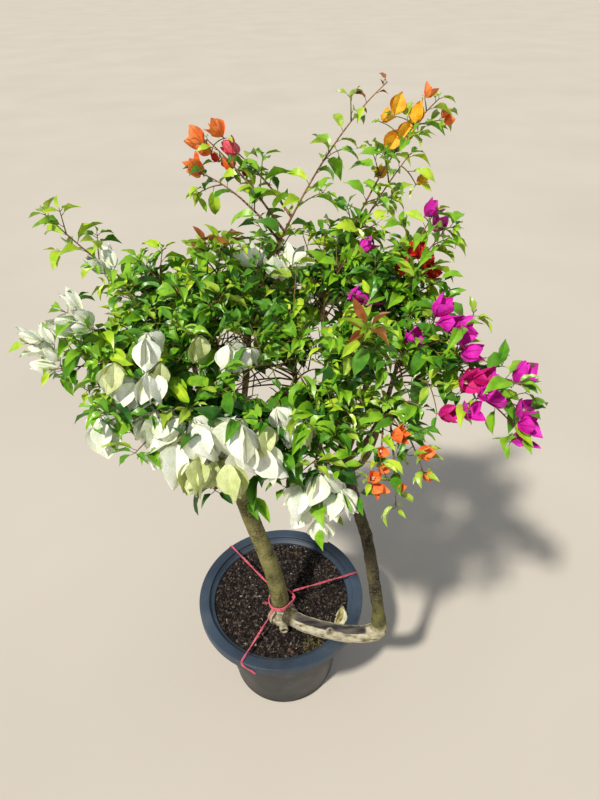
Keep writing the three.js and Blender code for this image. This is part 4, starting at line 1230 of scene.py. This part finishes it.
def grow(crown, name, seed):
    """One mass: its stem, its shoots and their twigs, each dressed with leaves."""
    mass = CROWN[name]
    bough = bough_path(name)
    foot, ahead = bough.at(1.0), bough.tangent(1.0)
    stem = Path([foot, foot + ahead * STEM_LENGTH / 2, foot + ahead * STEM_LENGTH])
    limb(crown.wood, stem, taper(BOUGH_TIP_RADIUS, STEM_TIP_RADIUS), 8, 6, 0, 0.3)
    lines = [stem]
    hem = mass.centre[2] - UNDERSIDE * mass.reach if name in FRONT_MASSES else 0
    for index, (curve, ending, long) in enumerate(shoots_of(name, stem, seed)):
        random = seeded(seed * 100 + index)
        phase = 2 * math.pi * next(random)
        path = zigzag(curve, phase)
        lines.append(path)
        thick = SHOOT_RADIUS if long else SHORT_SHOOT_RADIUS
        limb(crown.wood, path, taper(thick, SHOOT_TIP_RADIUS), 6, max(6, round(path.length / 12)), 1)
        hanging = long and path.at(1.0)[2] < foot[2] + 30
        twigs = round(path.length / TWIG_STEP * mass.twigs * (HANGING_TWIGS if hanging else 1))
        for i in range(twigs):
            along = TWIGS_FROM + TWIGS_SPAN * (i + 0.5) / twigs
            tangent = path.tangent(along)
            outward = square_to(tangent, phase + i * GOLDEN)
            length = TWIG_LENGTH * (1.15 - 0.5 * along) * (0.75 + 0.5 * next(random))
            start = path.at(along)
            twig = arch(start, start + outward * 0.75 * length + tangent * 0.6 * length, 3, 6)
            samples = twig.at([0.4, 0.7, 1.0])
            if not (crown.in_space(name, samples) and crown.clear_of_limbs(samples)):
                continue
            if samples[2][2] < hem and next(random) < 0.8:
                continue
            limb(crown.green, twig, taper(TWIG_RADIUS, TWIG_TIP_RADIUS), 4, 5)
            lines.append(twig)
            last = "young" if next(random) < 0.1 else "green"
            dress(crown, name, twig, 0.3, phase + 2 * i, TWIG_LEAF_SIZE, last, random, hem)
        size = SHOOT_LEAF_SIZES.get(name, 1)
        begin = HANGING_LEAVES_FROM if hanging else LEAVES_FROM
        dress(crown, name, path, begin, phase, size, ending, random, 0 if long else hem)
    crown.skeleton[name] = np.vstack([line.at(np.linspace(0.15, 1, 12)) for line in lines])


def flower(tubes, base, axis, size, openness, breadth, random):
    """One flower: a slender tube, and the three bracts round it, which are returned."""
    phase = 6.28 * next(random)
    bracts = []
    for i in range(3):
        spread = square_to(axis, phase + i * 2 * math.pi / 3)
        lean = openness * (0.85 + 0.3 * next(random))
        direction = unit(axis * math.cos(lean) + spread * math.sin(lean))
        length = size * (0.88 + 0.24 * next(random))
        turn = 0.45 + 0.5 * next(random)
        cup = 0.35 + 0.35 * next(random)
        normal = facing(direction, spread)
        bracts.append((base, direction, normal, length, turn, cup, next(random), breadth))
        limb(tubes, straight(base, base + unit(axis + spread * 0.18) * size * 0.42), taper(0.7, 1.2), 5, 3)
    return bracts


def make_blossom(crown):
    """Heads of flowers, each head on a stalk from the nearest twig."""
    bracts = {colour: [] for colour in BRACT_SKINS}
    tubes = Heap()
    for number, (name, colour, size, way, heads) in enumerate(BLOSSOM):
        random = seeded(900 + number)
        outness, rise, openness, breadth = WAYS[way]
        near = crown.skeleton[name]
        for x, y, z, flowers in heads:
            spot = np.array([x, y, z], float)
            out = unit((spot - CROWN_MIDDLE) * [1, 1, 0.2])
            general = unit(out * outness + UP * rise)
            root = spot - general * 0.5 * size
            joint = near[np.argmin(distance(near, root))]
            stalk = arch(joint, root, min(8, 0.1 * distance(root, joint)), 6)
            if stalk.length > SHORTEST_STALK:
                limb(crown.green, stalk, taper(1.0, 0.6), 4, 6)
            if stalk.length > LEAFY_STALK:
                phase = 2 * math.pi * next(random)
                dress(crown, name, stalk, 0.35, phase, 0.8, "green", random, z - FLOWER_HEM)
            for index in range(flowers):
                swing = square_to(general, 2.4 * index + 6 * next(random))
                axis = unit(general + swing * (0.55 if flowers > 1 else 0.25) + (next(random) - 0.5) * 0.3)
                base = root + swing * (0.17 * size if flowers > 1 else 0) + general * 2
                limb(crown.green, straight(root, base), taper(0.6, 0.5), 3, 3)
                bracts[colour] += flower(tubes, base, axis, size, openness, breadth, random)
    return bracts, tubes


def make_foliage(bark, shoot_bark, young_bark):
    crown = Crown()
    for seed, name in enumerate(CROWN, FIRST_SEED):
        grow(crown, name, seed)
    bracts, tubes = make_blossom(crown)
    sticks(crown.green, *columns_of(crown.petioles), *PETIOLE_RADII)
    nodes = [f"foliage_{name}" for name in CROWN]
    place("twigs_woody", crown.wood, [bark, shoot_bark], "green_bark", *nodes)
    place("twigs_green", crown.green, [young_bark], "foliage")
    for kind, leaves in crown.leaves.items():
        heap = Heap()
        leaf_blades(heap, leaves)
        skin = blade_material(f"leaf_{kind}", *LEAF_SKINS[kind], 0.34, 0.55)
        place(f"leaves_{kind}", heap, [skin], "foliage", *nodes)
    for colour, blades in bracts.items():
        heap = Heap()
        bract_blades(heap, blades)
        light, dark, vein = BRACT_SKINS[colour]
        skins = [blade_material(f"bract_{colour}", light, dark, 0.6, 0.35, 75, 0.75, vein),
                 blade_material(f"vein_{colour}", vein, vein, 0.62, 0.3)]
        place(f"bracts_{colour}", heap, skins, "bracts")
    cream = blade_material("flower_tube", (232, 232, 196), (206, 210, 160), 0.5)
    place("flower_tubes", tubes, [cream], "bracts")


# Small things
def make_fallen_bract():
    """Two bracts, one on the other, on the soil."""
    direction = unit([0.43, 0.9, 0.04])
    normal = facing(direction, [-0.3, 0.13, 0.94])
    root = np.array(FALLEN_ROOT, float) + UP * 3.5
    heap = Heap()
    bract_blades(heap, [
        (root, direction, -normal, 42.0, 0.5, -0.7, 0.3, 0.36),
        (root + normal * 1.5, unit(direction + [0.14, 0, 0.1]), -normal, 36.0, 0.7, -0.9, 0.7, 0.34),
    ], (1, 2, 3))
    skins = [blade_material("bract_fallen", (238, 232, 200), (206, 198, 150), 0.6, 0.35, 60),
             blade_material("middle_fallen", (176, 166, 104), (112, 98, 52), 0.6, 0.35, 110)]
    place("fallen_bract_paper", heap, skins, "bracts", "fallen_bract")


def strand(heap, path, phase, swing, pitch, radius):
    """One strand of a twisted pair along a path."""
    along = np.linspace(0, 1, max(8, round(path.length / 3)))
    centres, tangents = path.at(along), path.tangent(along)
    points = [c + swing * square_to(t, phase + 2 * math.pi * a * path.length / pitch)
              for c, t, a in zip(centres, tangents, along)]
    limb(heap, Path(points), even(radius), 6, len(points))


def wind_loop(heap, centre):
    """Three turns of twine round the burl, pulled out on the right and sagging on the left."""
    angles = np.linspace(0, 2 * math.pi, 49)
    pull = TWINE_PULL * np.maximum(0, np.cos(angles - 0.25)) ** 6
    sag = TWINE_DIP * np.sin(angles) - TWINE_SAG * np.maximum(0, -np.cos(angles)) - 0.5 * pull
    for level, phase in LOOP_TURNS:
        x, y = (LOOP_RADIUS + 1.5 + pull) * np.cos(angles), LOOP_RADIUS * np.sin(angles)
        ring = centre + np.stack([x, y, level + 1.6 * np.sin(angles + phase) + sag], 1)
        limb(heap, Path(ring), even(TWINE_RADIUS), 6, 60)


def stretch_run(heap, centre, x, y):
    """One doubled run of twine from the loop to the rim at x and y, with its tail over the lip."""
    away = unit([x - centre[0], y - centre[1], 0])
    reach = LOOP_RADIUS + 0.8 + (TWINE_PULL if away[0] > 0.5 else 0)
    start = centre + away * reach + UP * (TWINE_DIP * away[1] - TWINE_SAG * max(0, -away[0]))
    end = np.array([x, y, POT_HEIGHT + 2.2])
    tail = [end]
    for out, turn, rise in TWINE_TAIL:
        tail.append((*polar(POT_RIM_RADIUS + out, math.atan2(y, x) + turn), POT_HEIGHT + rise))
    for phase in (0, math.pi):
        strand(heap, bend(start, (start + end) / 2 - UP * 0.8, end), phase, *RUN_TWIST)
        strand(heap, spline(tail, 8), phase, *TAIL_TWIST)


def tie_knot(heap, centre):
    """Three small turns of twine, one across the other."""
    angles = np.linspace(0, 2 * math.pi, 25)
    for turn in range(3):
        tilt = unit([math.cos(turn), math.sin(turn), 0.6])
        ring = (np.outer(np.cos(angles), square_to(tilt, 0))
                + 0.7 * np.outer(np.sin(angles), square_to(tilt, math.pi / 2)))
        limb(heap, Path(centre + TWINE_KNOT_RADIUS * ring), even(1.2), 6, 26)


def fray_end(heap, root):
    """The loose fibres of a cut end."""
    random = seeded(77)
    for _ in range(FRAYED_FIBRES):
        tip = root + np.array([-9 - 9 * next(random), -8 + 16 * next(random), -8 + 12 * next(random)])
        limb(heap, arch(root, tip, 2, 6), taper(0.5, 0.2), 4, 6)


def make_twine():
    heap = Heap()
    centre = host_at("trunk", TWINE_LEVEL)
    wind_loop(heap, centre)
    for x, y in TWINE_RUNS:
        stretch_run(heap, centre, x, y)
    tie_knot(heap, centre + [LOOP_RADIUS + 8, 4, -3])
    fray_end(heap, centre + [-LOOP_RADIUS - 1, -6, -10])
    shader = Shader("twine", 0.5, 0.4)
    colour = shader.clouds(160, 3, (0.3, (202, 72, 94)), (0.7, (234, 122, 138)))
    skin = shader.finish(colour, shader.noise(500, 2, (1, 1, 0.3)), 0.0006, 0.5)
    place("twine_strands", heap, [skin], "twine", "twine_loop", "twine_run_back", "twine_run_right",
          "twine_run_front")


def tape_radius(along):
    """Tape wound in turns, each a low ridge."""
    return 5.6 + 0.35 * math.cos(12 * along)


def make_ties():
    """Bands of green grafting tape where some boughs carry their grafts."""
    heap = Heap()
    for name, at in GRAFTS:
        path = bough_path(name)
        middle, tangent = path.at(at), path.tangent(at)
        points = [middle + tangent * (k - 3) * 1.2 for k in range(7)]
        limb(heap, Path(points), tape_radius, 14, 18)
    shader = Shader("graft_tape", 0.4, 0.5)
    skin = shader.finish(shader.clouds(220, 2, (0.35, (24, 104, 92)), (0.7, (52, 150, 130))))
    place("graft_ties", heap, [skin], "twine")


# Stage
def make_floor():
    corners = [(x * FLOOR_REACH, y * FLOOR_REACH, 0) for x, y in ((-1, -1), (1, -1), (1, 1), (-1, 1))]
    heap = Heap()
    heap.add(corners, [(0, 1, 2), (0, 2, 3)])
    floor = stand("floor", heap.mesh("floor"))
    shader = Shader("floor", 0.9, 0.2)
    skin = shader.finish(shader.clouds(1.2, 2, (0.3, (206, 197, 184)), (0.7, (212, 203, 190))))
    floor.data.materials.append(skin)


def make_light():
    """A soft sky, a sun from the upper left and a faint fill from the right."""
    world = bpy.data.worlds.new("studio")
    bpy.context.scene.world = world
    world.use_nodes = True
    background = world.node_tree.nodes["Background"]
    background.inputs["Color"].default_value = SKY_COLOUR
    background.inputs["Strength"].default_value = SKY_POWER
    for name, position, spread, power, colour in LIGHTS:
        data = bpy.data.lights.new(name, "SUN")
        data.angle = math.radians(spread)
        data.energy = power
        data.color = colour
        lamp = stand(name, data)
        lamp.location = position
        aim = Vector(LIGHTS_AIM) - Vector(position)
        lamp.rotation_mode = "QUATERNION"
        lamp.rotation_quaternion = aim.to_track_quat("-Z", "Y")


def make_camera():
    """The photograph's view: a telephone held 1.4 m above the ground, tilted down."""
    tilt, roll = math.radians(CAMERA_TILT), math.radians(CAMERA_ROLL)
    right = Vector((1, 0, 0))
    forward = Vector((0, math.cos(tilt), -math.sin(tilt)))
    up = Vector((0, math.sin(tilt), math.cos(tilt)))
    across = right * math.cos(roll) + up * math.sin(roll)
    above = up * math.cos(roll) - right * math.sin(roll)
    data = bpy.data.cameras.new("camera")
    data.lens = CAMERA_LENS
    data.sensor_width = CAMERA_SENSOR
    camera = stand("camera", data)
    turn = Matrix((across, above, -forward)).transposed()
    camera.matrix_world = Matrix.Translation(Vector(CAMERA_AT) * MM) @ turn.to_4x4()
    bpy.context.scene.camera = camera


make_camera()
make_floor()
make_light()
barks = {name: bark_material(f"bark_{name}", *tones) for name, tones in BARK_SKINS.items()}
make_pot()
make_soil()
make_grains()
make_trunk(barks["trunk"])
make_side_stem(barks["stem"])
make_boughs(barks["bough"])
make_foliage(barks["bough"], barks["shoot"], barks["young"])
make_twine()
make_fallen_bract()
make_ties()
bpy.context.scene.view_settings.view_transform = "Standard"
